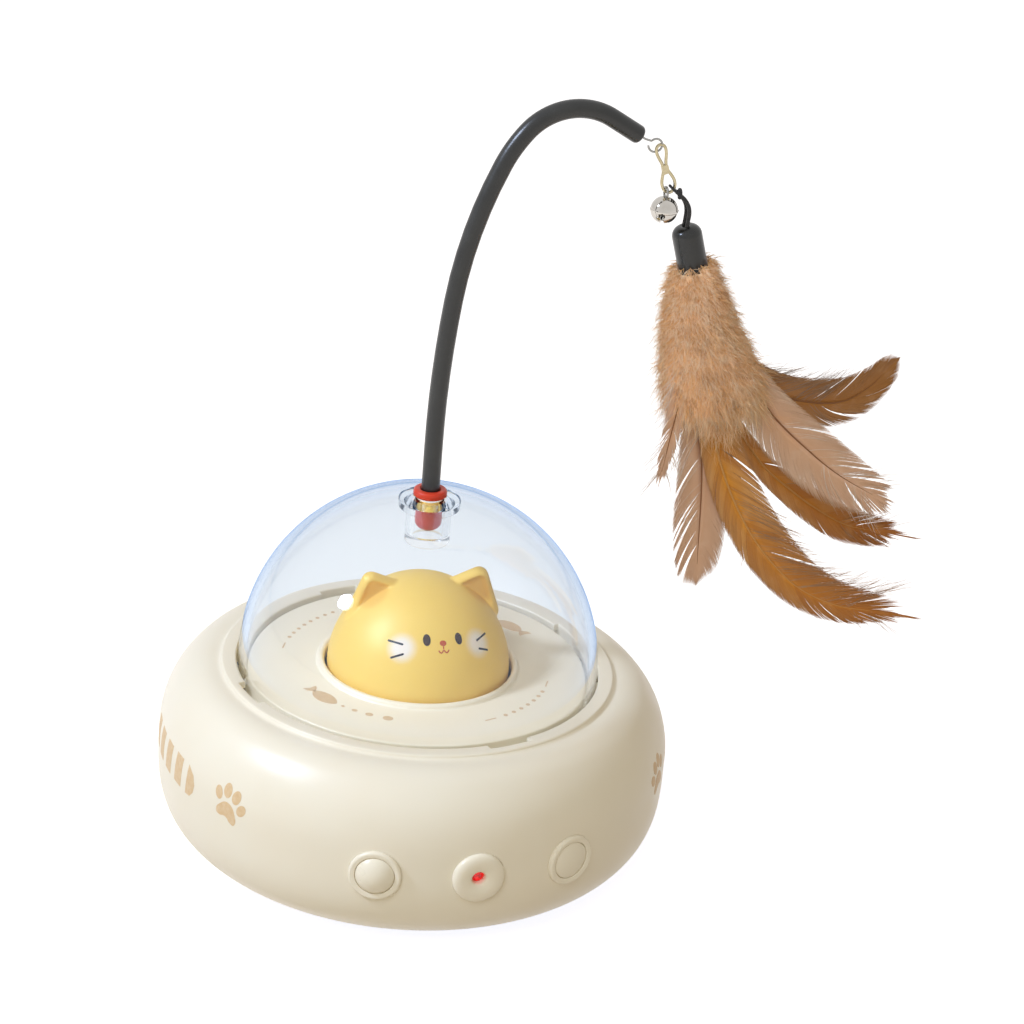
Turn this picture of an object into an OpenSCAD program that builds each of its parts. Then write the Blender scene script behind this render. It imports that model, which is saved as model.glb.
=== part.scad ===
// Flying-saucer cat teaser: a motor turns the whole saucer on its foot, which
// sweeps a light spot over the floor and swings a feather lure on a bent rod.
// The origin is the centre of the foot's underside, the front faces -Y.

/* [Saucer] */
// Radius of the saucer at its equator
body_r = 65; // [64.5:0.5:75]
// Height of the equator above the floor
equator_z = 30; // [28:0.5:34]
// Full height of the upper curve above the equator
upper_h = 31.9; // [30:0.1:36]
// Full depth of the lower curve below the equator
lower_h = 30.2; // [28.5:0.1:31]
// Squareness of the upper curve
upper_power = 2.6; // [2.4:0.05:2.8]
// Squareness of the lower curve
lower_power = 3.36; // [3.1:0.02:3.6]
// Thickness of the moulded walls
wall = 2; // [1.6:0.1:2.4]
// Radius of the round shoulder below the rim
shoulder_r = 10; // [8:0.5:11]
// Distance from the equator in to where the shoulder starts
shoulder_in = 6.3; // [6:0.1:6.8]
// Height of the raised rim above the shoulder
rim_h = 1.1; // [0.8:0.1:1.6]
// Width of the raised rim
rim_w = 3.9; // [3.4:0.1:4.2]
// Height of the saucer's flat underside above the floor
belly_z = 2.5; // [2.2:0.1:3]
// Height of the seam between the upper and the lower shell
seam_z = 7; // [6.6:0.1:7.4]

/* [Dome] */
// Distance from the equator in to the outside of the clear dome
dome_in = 19.3; // [19:0.1:20.5]
// Thickness of the clear dome
dome_wall = 2; // [1.6:0.1:2.4]
// Radial gap between the dome and the rim
dome_gap = 0.4; // [0.3:0.05:0.6]
// Angle of a locking tab
tab_angle = 11; // [8:0.5:12]
// Angle that the dome turns from locked to free
twist_angle = 20; // [18:0.5:22]
// Outer radius of the socket cup under the dome's top
cup_r = 5.65; // [5.4:0.05:6]
// Depth of the socket cup below the dome's top
cup_depth = 12.8; // [12.4:0.1:15]

/* [Deck and head] */
// Radius of the round opening for the cat head
head_hole_r = 23.9; // [22.5:0.1:25]
// Gap between the head and its opening
head_gap = 0.7; // [0.4:0.1:1]
// Thickness of the head's wall
head_wall = 1.6; // [1.2:0.1:2]
// Height of the lip round the opening
lip_h = 1.3; // [1:0.1:1.8]
// Distance of an ear's tip from the middle
ear_tip_x = 14.7; // [13:0.1:16]
// Height of an ear's tip above the deck
ear_tip_h = 26.7; // [25:0.1:28]

/* [Portholes] */
// Height of the three portholes above the floor
port_z = 27.2; // [26.5:0.1:28.5]
// Angle between neighbouring portholes
port_angle = 22; // [20:0.5:26]
// Outer radius of a porthole ring
port_r = 6.9; // [6.5:0.1:7.4]
// Radius of a push button
button_r = 4.6; // [4.2:0.1:4.8]
// Travel of a push button
button_travel = 0.8; // [0.5:0.1:1]
// Radius of the light outlet
outlet_r = 1.6; // [1.2:0.1:2]

/* [Rod] */
// Diameter of the rod's sleeve
rod_d = 4.8; // [4.4:0.1:5]
// Diameter of the wire inside the sleeve
wire_d = 1; // [0.8:0.1:1.2]
// Height of the straight foot of the rod above the dome's top
rod_straight = 13; // [10:1:30]
// Length of the straight end of the sleeve
rod_end = 9; // [6:0.5:14]

/* [Lure] */
// Diameter of the small bell
bell_d = 6.8; // [6:0.1:7]
// Radius of the cap that holds the feathers
cap_r = 3.6; // [3.4:0.1:4]
// Length of the cap
cap_l = 12; // [11:0.5:14]
// Lean of the hanging lure from the vertical
lure_tilt = 16; // [12:0.5:18]
// Largest radius of the fluff
fluff_r = 14; // [10:0.5:16]
// Length of the fluff below the cap
fluff_l = 38; // [30:1:44]
// Thickness of a feather
feather_t = 0.6; // [0.5:0.05:0.7]

/* [Foot and drive] */
// Distance from the equator in to the edge of the foot
foot_in = 28.5; // [27.5:0.5:30.5]
// Width of the foot's bare edge round the rubber pad
pad_in = 4.5; // [4:0.5:10]
// Radius of the foot's bearing post
post_r = 8; // [7:0.1:8.5]
// Running clearance of the bearing and of the gear on its pin
bearing_gap = 0.05; // [0.03:0.01:0.08]
// Gear module
tooth_m = 0.8; // [0.78:0.005:0.82]
// Teeth of the fixed gear on the foot
sun_n = 48; // [46:1:50]
// Teeth of the reduction gear's small wheel
small_n = 12; // [12:1:13]
// Teeth of the reduction gear's large wheel
large_n = 36; // [34:1:37]
// Teeth of the motor pinion
pinion_n = 10; // [10:1:11]
// Direction of the motor, seen from the reduction gear
motor_angle = 150; // [146:1:156]
// Radius of the motor can
motor_r = 7.75; // [7:0.05:8]
// Length of the motor can
motor_l = 17; // [14:0.5:18]
// Radius of the battery cell
cell_r = 5.25; // [5:0.05:5.5]
// Length of the battery cell
cell_l = 44.5; // [40:0.5:46]

/* [Hidden] */
$fn = 64;

// Clearances between neighbouring pieces
fit_gap = 0.1;
free_gap = 0.3;
overlap = 0.4;

// Points of a circular arc about a centre
function arc(c, r, from, to, steps) =
    [for (i = [0:steps]) let (a = from + (to - from) * i / steps) c + r * [cos(a), sin(a)]];
function reversed(list) = [for (i = [len(list) - 1:-1:0]) list[i]];
// Points of a superellipse quarter from the equator, where t is 0, up to t
function curve(r, h, p, from, to, steps) =
    [for (i = [0:steps]) let (t = from + (to - from) * i / steps)
        [r * pow(cos(t), 2 / p), h * pow(sin(t), 2 / p)]];
function turned(list, z, side) = [for (q = list) [q[0], z + side * q[1]]];

// Shoulder: the upper curve runs to shoulder_at, then a round arc levels off
shoulder_at = body_r - shoulder_in;
upper_t = acos(pow(shoulder_at / body_r, upper_power / 2));
shoulder_dz = upper_h * pow(sin(upper_t), 2 / upper_power);
shoulder_slope = atan(upper_h / body_r * pow(shoulder_at / body_r, upper_power - 1)
    / pow(shoulder_dz / upper_h, upper_power - 1));
shoulder_c = [shoulder_at - shoulder_r * sin(shoulder_slope),
    equator_z + shoulder_dz - shoulder_r * cos(shoulder_slope)];
shoulder_z = shoulder_c[1] + shoulder_r;

// Belly: the lower curve runs to belly_at, then a wide arc levels off
belly_at = body_r - 13;
lower_t = acos(pow(belly_at / body_r, lower_power / 2));
belly_dz = lower_h * pow(sin(lower_t), 2 / lower_power);
belly_slope = atan(lower_h / body_r * pow(belly_at / body_r, lower_power - 1)
    / pow(belly_dz / lower_h, lower_power - 1));
belly_arc_r = (equator_z - belly_dz - belly_z) / (1 - cos(belly_slope));
belly_c = [belly_at - belly_arc_r * sin(belly_slope), belly_z + belly_arc_r];
seam_t = asin(pow((equator_z - seam_z) / lower_h, lower_power / 2));
seam_in_t = asin(pow((equator_z - seam_z) / (lower_h - wall), lower_power / 2));
seam_in_r = (body_r - wall) * pow(cos(seam_in_t), 2 / lower_power);

// Rim, locking groove and the shelf that carries the deck
dome_r = body_r - dome_in;
rim_in_r = dome_r + dome_gap;
rim_out_r = rim_in_r + rim_w;
rim_z = shoulder_z + rim_h;
groove_r = rim_in_r + 1.9;
notch_r = groove_r - 0.3;
tab_r = notch_r - free_gap;
lock_lip = 1.8;
shelf_top = rim_z - 4.7;
shelf_z = shelf_top - wall;
shelf_r = dome_r - 9.7;
skirt_r = groove_r + 2.2;
notch_angle = 14;
notch_turn = 14;
// The free lock turn from the tab to its notch
lock_turn = notch_turn - twist_angle;

// Deck, head and dome heights
deck_r = dome_r - dome_wall - dome_gap;
deck_z = rim_z - 0.5;
lip_z = deck_z + lip_h;
head_r = head_hole_r - head_gap;
head_z = deck_z;
dome_z = rim_z + 0.8;
dome_top = dome_z + dome_r;
land_z = dome_top - 0.35;
deck_screw_r = deck_r - 3.2;
head_screw_r = head_hole_r + 4.1;
head_flange_r = head_screw_r + 2.4;

// Portholes: a flat seat cut into the wall, measured out from the axis
port_seat = body_r - 0.6;
port_hole_r = port_r - 0.9;
bezel_in_r = button_r + 0.3;
bezel_back = port_seat - wall - 2.2;
button_crown = 2;
mode_crown = 1;
flange_d = bezel_back - free_gap;
flange_t = 1.2;
plunger_tip = flange_d - flange_t - 2.6;
switch_front = plunger_tip - button_travel - 0.8;
switch_depth = 3.6;
switch_w = 6.2;
plunger_r = 1.2;
port_turn = [-port_angle, 0, port_angle];

// Floor of the saucer and the foot under it
floor_top = belly_z + 5;
recess_z = floor_top - wall;
foot_top = recess_z - 0.5;
foot_z = 1;
foot_r = body_r - foot_in;
pad_r = foot_r - pad_in;
pad_t = 1.6;
recess_r = foot_r + 1;
hub_r = post_r + 3;
hub_top = floor_top + 4;
spigot_r = post_r - 3;
sun_z = hub_top + free_gap;
sun_h = 5;
sun_top = sun_z + sun_h;
washer_t = 0.8;
thread_r = 1.5;

// Gear train, all with one tooth size
pressure = 25;
backlash = 0.14;
gear_d = tooth_m * (sun_n + small_n) / 2;
motor_d = tooth_m * (large_n + pinion_n) / 2;
gear_at = [0, gear_d];
motor_at = gear_at + motor_d * [cos(motor_angle), sin(motor_angle)];
small_z = sun_z + 0.1;
large_z = sun_top + 1.5;
large_h = 4;
large_top = large_z + large_h;
plate_z = large_top + 1;
plate_t = wall;
pin_r = 1;
pin_post_top = small_z - 0.1;
shaft_r = 1;
large_r = tooth_m * large_n / 2;
plate_posts = [gear_at + (large_r + 6) * [cos(15), sin(15)],
    gear_at + (large_r + 10.5) * [cos(118), sin(118)],
    motor_at + (motor_r + 6) * [cos(222), sin(222)]];

// Board, battery and charging socket
board_t = 1.6;
board_top = port_z - 4;
board_z = board_top - board_t;
board_w = 56;
board_back = -24;
board_front = -(switch_front * cos(port_angle) + switch_w / 2 * sin(port_angle) + 0.6);
board_screws_at = [[-board_w / 2 + 4, board_back - 4], [board_w / 2 - 4, board_back - 4],
    [-board_w / 2 + 4, board_back - 17], [board_w / 2 - 4, board_back - 17]];
cell_x = 33;
cradle_t = 1.5;
cell_z = floor_top + cradle_t + fit_gap + cell_r;
barrel_r = 3;
barrel_l = 13.5;
barrel_seat = port_seat - 3.2;
socket_w = 9;
socket_h = 3.2;
socket_z = 15;
socket_l = 14;
socket_face = body_r - 3.2;
socket_back = socket_face - socket_l;
socket_low = socket_z - socket_h / 2;
post_ring_r = rim_in_r + 1.4;
body_post_r = 3.2;

// Screws: thread, shank length, head
screw_r = 1.1;
screw_head_r = 2;
screw_head_t = 1.3;

// Rod: bends listed from the foot up, as radius and heading from the vertical
rod_foot_z = dome_top - 7;
rod_bends = [[300, 7.3], [115, 25], [35, 41], [16.5, 121]];
rod_up_z = dome_top + rod_straight;
bore_gap = 0.05;
plug_r = 3.6;
plug_flange_r = 4.7;
plug_flange_t = 2;
plug_gap = 0.05;
cup_bore = plug_r + plug_gap;
plug_l = 9;
function heading(i) = i < 0 ? 0 : rod_bends[i][1];
function bend_start(i) = i <= 0 ? [0, rod_up_z]
    : bend_start(i - 1) + rod_bends[i - 1][0] * [cos(heading(i - 2)) - cos(heading(i - 1)),
        sin(heading(i - 1)) - sin(heading(i - 2))];
rod_last = heading(len(rod_bends) - 1);
rod_dir = [sin(rod_last), cos(rod_last)];
rod_tip = bend_start(len(rod_bends)) + rod_end * rod_dir;

// Wire eye, snap and lure places in the rod's plane, measured from the rod's tip
eye_r = 1.7;
wire_out = 2.8;
eye_c = rod_tip + (wire_out + eye_r) * rod_dir;
eye_low = eye_c + eye_r * rod_dir;
snap_wire = 0.35;
snap_tilt = 18;
snap_dir = [sin(snap_tilt), -cos(snap_tilt)];
snap_top_r = 2.1;
snap_low_r = 2.5;
snap_neck = 3.4;
snap_gap = wire_d / 2 + snap_wire + 0.2;
snap_up = eye_low + (snap_top_r - snap_gap) * snap_dir;
snap_down = snap_up + (snap_top_r + snap_neck + snap_low_r) * snap_dir;
snap_low = snap_down + snap_low_r * snap_dir;
cord_r = 0.5;
bell_r = bell_d / 2;
bell_wall = 0.5;
bell_loop_r = 1.3;
bell_loop_wire = 0.3;
bell_c = snap_low + [-1.1, -bell_r - 1.1];
lure_top = snap_low + [4.8, -8.6];
cap_wall = 0.7;
quill_z = -3;

// Feather: quill, bend and tip beside the lure's axis, bend and tip below the cap's top,
// half width, turn about the lure's axis and place across it
feather_list = [
    [[1.6, 8, 48], [62, 53], 6.5, 15, 2.4],
    [[1.2, 4, 47], [62, 95], 7, -10, -0.8],
    [[0.8, -2, 47], [78, 112], 6, 8, 1.6],
    [[0.4, -17, 39], [100, 128], 7, 0, 0],
    [[-0.4, -8, 6], [60, 99], 5, 0, 0.8],
    [[-0.8, -4, -14], [55, 100], 7, 8, -1.6],
    [[-1.2, -8, -19], [40, 73], 4, 12, -2.4]
];
feather_start = 10;
function bezier(a, b, c, t) = (1 - t) * (1 - t) * a + 2 * t * (1 - t) * b + t * t * c;
function slope(a, b, c, t) = 2 * (1 - t) * (b - a) + 2 * t * (c - b);
// Share of the half width along the feather: a bare quill, then a vane that rounds off at the tip
function vane(t) = t < 0.3 ? 0.06 : max(0.06, pow(sin(180 * pow((t - 0.3) / 0.7, 0.75)), 0.6));

// Involute gear outline with its own backlash, a tooth centred on +X
function involute(base, r) = let (a = acos(min(1, base / r))) tan(a) * 180 / PI - a;
function flank(n, r) = let (pitch = tooth_m * n / 2, base = pitch * cos(pressure))
    (90 / n) - backlash / 4 / pitch * 180 / PI + involute(base, pitch) - involute(base, max(r, base));
function gear_points(n) = let (
        pitch = tooth_m * n / 2,
        tip = pitch + 0.8 * tooth_m,
        root = pitch - 1.05 * tooth_m,
        low = max(root, pitch * cos(pressure)),
        radii = [for (i = [0:4]) low + (tip - low) * i / 4],
        side = concat([[root, flank(n, low)]], [for (r = radii) [r, flank(n, r)]]))
    [for (k = [0:n - 1], q = concat([for (s = side) [s[0], -s[1]]], [for (s = reversed(side)) s]))
        let (a = 360 * k / n + q[1]) q[0] * [cos(a), sin(a)]];

// Frame with +Z out through a porthole
module at_port(turn) {
    translate([0, 0, port_z]) rotate([0, 0, turn]) rotate([90, 0, 0]) children();
}

// Round bar along +Z from one height to another
module bar(r, from, to) {
    translate([0, 0, from]) cylinder(r = r, h = to - from);
}

module ring(r_out, r_in, from, to) {
    difference() {
        bar(r_out, from, to);
        bar(r_in, from - 1, to + 1);
    }
}

// Screw with its head's seat at z = 0, the head above and the shank below
module screw(length) {
    rotate_extrude() polygon(concat(
        [[0, -length], [screw_r - 0.4, -length], [screw_r, -length + 0.6], [screw_r, 0], [screw_head_r, 0]],
        [for (a = [0:15:75]) [screw_head_r * cos(a), screw_head_t * sin(a)]],
        [[0.5, screw_head_t], [0.5, 0.5], [0, 0.5]]));
}

module gear_wheel(n, from, to, turn) {
    translate([0, 0, from]) rotate([0, 0, turn]) linear_extrude(to - from) polygon(gear_points(n));
}

module foot_pad() {
    color("dimgray") bar(pad_r, 0, pad_t);
}

module foot_disc() {
    color("ivory") difference() {
        union() {
            bar(foot_r, foot_z, foot_top);
            bar(post_r, foot_z, hub_top + free_gap);
            difference() {
                bar(spigot_r, foot_z, sun_top);
                translate([spigot_r - 1, -spigot_r, sun_z]) cube([2, 2 * spigot_r, sun_h + 1]);
            }
        }
        bar(pad_r + fit_gap, foot_z - 1, pad_t);
        bar(thread_r, pad_t + 2, sun_top + 1);
    }
}

module sun_gear() {
    color("white") difference() {
        gear_wheel(sun_n, sun_z, sun_top, 90);
        difference() {
            bar(spigot_r, sun_z - 1, sun_top + 1);
            translate([spigot_r - 1, -spigot_r, sun_z - 2]) cube([2, 2 * spigot_r, sun_h + 4]);
        }
    }
}

module thrust_washer() {
    color("silver") ring(post_r + 4, post_r + 0.2, foot_top, recess_z - 0.05);
}

module axle_washer() {
    color("silver") ring(spigot_r + 2.5, thread_r + 0.2, sun_top, sun_top + washer_t);
}

module axle_screw() {
    head_z = sun_top + washer_t;
    color("silver") difference() {
        union() {
            bar(thread_r, pad_t + 4, head_z);
            bar(thread_r + 1.3, head_z, head_z + 1.8);
        }
        translate([-0.4, -thread_r - 2, head_z + 1]) cube([0.8, 2 * thread_r + 4, 2]);
        rotate([0, 0, 90]) translate([-0.4, -thread_r - 2, head_z + 1]) cube([0.8, 2 * thread_r + 4, 2]);
    }
}

// Pan under the saucer with the bearing hub, the posts and the joint to the upper shell
module lower_shell() {
    pan = concat(
        [[post_r + bearing_gap, recess_z], [recess_r, recess_z], [recess_r, belly_z]],
        arc(belly_c, belly_arc_r, -90, belly_slope * 5 / 6 - 90, 5),
        reversed(turned(curve(body_r, lower_h, lower_power, seam_t, lower_t, 5), equator_z, -1)),
        [[seam_in_r - fit_gap, seam_z], [seam_in_r - fit_gap, seam_z + 3]],
        [[seam_in_r - fit_gap - wall, seam_z + 3], [seam_in_r - fit_gap - wall, floor_top]],
        [[hub_r, floor_top], [hub_r, hub_top], [post_r + bearing_gap, hub_top]]);
    color("ivory") difference() {
        union() {
            rotate_extrude($fn = 128) polygon(pan);
            translate(gear_at) bar(3, floor_top - overlap, pin_post_top);
            for (p = plate_posts) translate(p) bar(2.8, floor_top - overlap, plate_z);
            for (p = board_screws_at) translate(p) bar(2.6, floor_top - overlap, board_z);
            translate([-socket_w / 2 - 1.5, socket_back - 2, floor_top - overlap])
                cube([socket_w + 3, 4, socket_low - floor_top + overlap]);
            translate([-socket_w / 2 - 1.5, socket_back - 2, socket_low - wall])
                cube([socket_w + 3, socket_l - 2.6, wall]);
        }
        translate(gear_at) bar(pin_r, recess_z + 0.8, pin_post_top + 1);
        for (p = plate_posts) translate(p) bar(screw_r, plate_z - 7, plate_z + 1);
        for (p = board_screws_at) translate(p) bar(screw_r, board_z - 7, board_z + 1);
        for (a = [45:90:315]) rotate([0, 0, a]) translate([post_ring_r, 0, 0]) {
            bar(screw_r + 0.2, belly_z - 1, floor_top + 1);
            bar(screw_head_r + 0.3, belly_z - 1, floor_top - wall);
            hull() for (d = [0, wall + 1]) translate([d, 0, 0]) bar(body_post_r + free_gap, floor_top, seam_z + 4);
        }
        // Pry notch in the edge beside the seam
        rotate([0, 0, -153]) translate([seam_in_r + 0.6, -4, seam_z - 1]) cube([6, 8, 2]);
    }
}

// Main shell with the raised rim, the locking groove, the shelf and the three portholes
module upper_shell() {
    lid = concat(
        turned(curve(body_r, lower_h, lower_power, seam_t, 0, 12), equator_z, -1),
        turned(curve(body_r, upper_h, upper_power, upper_t / 12, upper_t, 11), equator_z, 1),
        arc(shoulder_c, shoulder_r, 90 - shoulder_slope * 6 / 7, 90, 6),
        [[rim_out_r + 0.7, shoulder_z], [rim_out_r + 0.2, shoulder_z + 0.3]],
        arc([rim_out_r - 0.6, rim_z - 0.6], 0.6, 0, 90, 4),
        arc([rim_in_r + 0.5, rim_z - 0.5], 0.5, 90, 180, 4),
        [[rim_in_r, rim_z - lock_lip], [groove_r, rim_z - lock_lip], [groove_r, shelf_top]],
        [[shelf_r, shelf_top], [shelf_r, shelf_z], [skirt_r, shelf_z], [skirt_r, shoulder_z - wall - 0.7]],
        [[shoulder_c[0], shoulder_z - wall]],
        arc(shoulder_c, shoulder_r - wall, 82, 92 - shoulder_slope, 3),
        reversed(turned(curve(body_r - wall, upper_h - wall, upper_power, 0, upper_t - 4, 7), equator_z, 1)),
        reversed(turned(curve(body_r - wall, lower_h - wall, lower_power, seam_in_t, 6, 7), equator_z, -1)));
    color("ivory") difference() {
        union() {
            rotate_extrude($fn = 160) polygon(lid);
            for (a = [45:90:315]) rotate([0, 0, a]) translate([post_ring_r, 0, 0])
                bar(body_post_r, floor_top, shelf_z + overlap);
        }
        for (t = port_turn) at_port(t) {
            bar(port_r + 0.15, port_seat, body_r + 2);
            bar(port_hole_r + fit_gap, body_r - 9, body_r + 2);
        }
        for (a = [45:90:315]) rotate([0, 0, a]) {
            translate([post_ring_r, 0, 0]) bar(screw_r, floor_top - 1, floor_top + 9);
            translate([deck_screw_r, 0, 0]) bar(screw_r + 0.2, shelf_z - 1, shelf_top + 1);
        }
        for (a = [notch_turn:90:notch_turn + 270])
            rotate([0, 0, a - notch_angle / 2])
                rotate_extrude(angle = notch_angle)
                    translate([rim_in_r - 1, rim_z - lock_lip - 0.1])
                        square([notch_r - rim_in_r + 1, lock_lip + 1]);
        translate([-socket_w / 2 - fit_gap, body_r - 12, socket_low - fit_gap])
            cube([socket_w + 2 * fit_gap, 14, socket_h + 2 * fit_gap]);
    }
}

module body_screws() {
    color("silver") for (a = [45:90:315]) rotate([0, 0, a])
        translate([post_ring_r, 0, floor_top - wall]) mirror([0, 0, 1]) screw(wall + 7);
}

module deck_plate() {
    plate = concat(
        [[head_hole_r, deck_z - wall], [deck_r - wall, deck_z - wall], [deck_r - wall, shelf_top]],
        [[deck_r, shelf_top], [deck_r, deck_z - 0.4], [deck_r - 0.4, deck_z], [head_hole_r + 2.4, deck_z]],
        arc([head_hole_r + 0.9, lip_z - 0.9], 0.9, 0, 180, 8));
    color("floralwhite") difference() {
        union() {
            rotate_extrude($fn = 128) polygon(plate);
            for (a = [45:90:315]) rotate([0, 0, a]) translate([deck_screw_r, 0, 0])
                bar(2.6, shelf_top, deck_z - wall + overlap);
        }
        for (a = [45:90:315]) rotate([0, 0, a]) translate([deck_screw_r, 0, 0])
            bar(screw_r, shelf_top - 1, deck_z - 0.8);
        for (a = [30:120:270]) rotate([0, 0, a]) translate([head_screw_r, 0, 0])
            bar(screw_r, deck_z - wall - 1, deck_z - 0.5);
    }
}

module deck_screws() {
    color("silver") for (a = [45:90:315]) rotate([0, 0, a])
        translate([deck_screw_r, 0, shelf_z]) mirror([0, 0, 1]) screw(wall + 3);
}

// Hollow head with a flange that screws up under the deck
module cat_head() {
    flange_z = deck_z - wall;
    color("khaki") difference() {
        union() {
            rotate_extrude($fn = 128) polygon(concat(
                arc([0, head_z], head_r, 0, 90, 24),
                arc([0, head_z], head_r - head_wall, 90, 0, 20),
                [[head_r - head_wall, flange_z - wall], [head_flange_r, flange_z - wall]],
                [[head_flange_r, flange_z], [head_r, flange_z]]));
            for (side = [-1, 1]) ear(side);
        }
        for (a = [30:120:270]) rotate([0, 0, a]) translate([head_screw_r, 0, 0])
            bar(screw_r + 0.2, flange_z - wall - 1, flange_z + 1);
    }
}

// Ear: a rounded triangle from the head's shell to its tip
module ear(side) {
    tip_round = 1.2;
    base_round = 2;
    base = [[5.6, 0.5], [17.2, 3.5]];
    hull() {
        translate([side * ear_tip_x, 0.5, deck_z + ear_tip_h - tip_round]) sphere(r = tip_round, $fn = 24);
        for (b = base) let (h = sqrt(pow(head_r - 1.8, 2) - b[0] * b[0] - b[1] * b[1]) - 0.6)
            translate([side * b[0], b[1], head_z + h]) sphere(r = base_round, $fn = 24);
    }
}

module head_screws() {
    color("silver") for (a = [30:120:270]) rotate([0, 0, a])
        translate([head_screw_r, 0, deck_z - 2 * wall]) mirror([0, 0, 1]) screw(wall + 1.2);
}

// Porthole ring with a round bead and a sleeve through the wall
module button_bezel(turn) {
    bead = (port_r - bezel_in_r) / 2;
    color("floralwhite") at_port(turn) rotate_extrude() polygon(concat(
        [[bezel_in_r, bezel_back], [port_hole_r, bezel_back], [port_hole_r, port_seat], [port_r, port_seat]],
        arc([bezel_in_r + bead, port_seat + 0.8], bead, 0, 180, 10)));
}

module power_bezel() {
    button_bezel(-port_angle);
}

module mode_bezel() {
    button_bezel(port_angle);
}

// Wide round bead about the light outlet, with a socket behind for the barrel
module laser_bezel() {
    mid = (port_r + outlet_r) / 2;
    half = (port_r - outlet_r) / 2;
    color("floralwhite") at_port(0) rotate_extrude() polygon(concat(
        [[outlet_r, barrel_seat], [barrel_r + fit_gap, barrel_seat], [barrel_r + fit_gap, barrel_seat - 4]],
        [[port_hole_r, barrel_seat - 4], [port_hole_r, port_seat], [port_r, port_seat]],
        [for (a = [0:15:180]) [mid + half * cos(a), port_seat + 0.6 + 1.5 * pow(sin(a), 0.8)]]));
}

module laser_barrel() {
    color("goldenrod") at_port(0) difference() {
        bar(barrel_r, barrel_seat - barrel_l, barrel_seat);
        bar(barrel_r - 0.9, barrel_seat - 5, barrel_seat + 1);
    }
}

module laser_lens() {
    lens_r = barrel_r - 0.9;
    color("crimson") at_port(0) bar(lens_r, barrel_seat - 2.4, barrel_seat - 0.8);
}

module main_board() {
    color("seagreen") difference() {
        translate([-board_w / 2, board_front, board_z]) cube([board_w, board_back - board_front, board_t]);
        for (p = board_screws_at) translate(p) bar(screw_r + 0.2, board_z - 1, board_top + 1);
    }
}

module board_screws() {
    color("silver") for (p = board_screws_at) translate([p[0], p[1], board_top]) screw(board_t + 5);
}

// Side-pushed switch that stands on the board, with a bore for its plunger
module push_switch(turn) {
    color("dimgray") difference() {
        at_port(turn) translate([-switch_w / 2, board_top - port_z, switch_front - switch_depth])
            cube([switch_w, 6.4, switch_depth]);
        at_port(turn) bar(plunger_r + bearing_gap, switch_front - switch_depth + 0.6, switch_front + 1);
    }
}

module power_switch() {
    push_switch(-port_angle);
}

module mode_switch() {
    push_switch(port_angle);
}

module battery_cell() {
    color("steelblue") translate([cell_x, 0, cell_z]) rotate([90, 0, 0]) union() {
        bar(cell_r, -cell_l / 2, cell_l / 2 - 1);
        bar(cell_r * 0.4, cell_l / 2 - 2, cell_l / 2);
    }
}

module battery_cradle() {
    w = 2 * (cell_r + fit_gap + cradle_t);
    l = cell_l + 2 * (fit_gap + cradle_t);
    color("black") difference() {
        translate([cell_x - w / 2, -l / 2, floor_top]) cube([w, l, cradle_t + fit_gap + cell_r]);
        translate([cell_x, 0, cell_z]) rotate([90, 0, 0])
            bar(cell_r + fit_gap, -cell_l / 2 - fit_gap, cell_l / 2 + fit_gap);
    }
}

// Plate over the gears that carries the motor and the top of the gear pin
module gear_plate() {
    color("gainsboro") difference() {
        union() {
            for (p = plate_posts) hull() {
                translate(p) bar(3.6, plate_z, plate_z + plate_t);
                translate(gear_at) bar(3.6, plate_z, plate_z + plate_t);
            }
            hull() {
                translate(motor_at) bar(motor_r + 1, plate_z, plate_z + plate_t);
                translate(gear_at) bar(3.6, plate_z, plate_z + plate_t);
                translate(plate_posts[2]) bar(3.6, plate_z, plate_z + plate_t);
            }
            translate(motor_at)
                ring(motor_r + 1.6, motor_r + fit_gap, plate_z + plate_t - overlap, plate_z + plate_t + 6);
        }
        translate(gear_at) bar(pin_r, plate_z - 1, plate_z + plate_t + 1);
        translate(motor_at) bar(3.1, plate_z - 1, plate_z + plate_t + 1);
        for (p = plate_posts) translate(p) bar(screw_r + 0.2, plate_z - 1, plate_z + plate_t + 1);
    }
}

module plate_screws() {
    color("silver") for (p = plate_posts) translate([p[0], p[1], plate_z + plate_t]) screw(plate_t + 5);
}

module gear_pin() {
    color("silver") translate(gear_at) bar(pin_r, recess_z + 0.8, plate_z + plate_t);
}

module motor_can() {
    can_z = plate_z + plate_t;
    color("silver") translate(motor_at) difference() {
        union() {
            bar(3, can_z - 1.4, can_z + 1);
            bar(motor_r, can_z, can_z + motor_l);
            bar(3, can_z + motor_l - 1, can_z + motor_l + 1.2);
        }
        bar(shaft_r + bearing_gap, can_z - 2, can_z + 7);
    }
}

// Charging socket seen in a slot at the back
module charge_socket() {
    color("silver") difference() {
        translate([-socket_w / 2, socket_back, socket_low]) cube([socket_w, socket_l, socket_h]);
        translate([-socket_w / 2 + 0.4, socket_face - 6, socket_low + 0.4])
            cube([socket_w - 0.8, 7, socket_h - 0.8]);
    }
}

// Reduction gear: its small wheel rolls round the fixed gear
module drive_gear() {
    color("white") translate(gear_at) difference() {
        union() {
            gear_wheel(small_n, small_z, large_z + overlap, 180 / small_n - 90);
            gear_wheel(large_n, large_z, large_top, motor_angle);
            bar(3, large_top - overlap, plate_z - 0.2);
        }
        bar(pin_r + bearing_gap, small_z - 1, plate_z + 1);
    }
}

module motor_shaft() {
    color("silver") translate(motor_at) bar(shaft_r, large_z - 0.6, plate_z + plate_t + 6.5);
}

module motor_pinion() {
    color("gold") translate(motor_at) difference() {
        gear_wheel(pinion_n, large_z + 0.1, large_top - 0.1, motor_angle + 180 + 180 / pinion_n);
        bar(shaft_r, large_z - 1, large_top + 1);
    }
}

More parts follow.
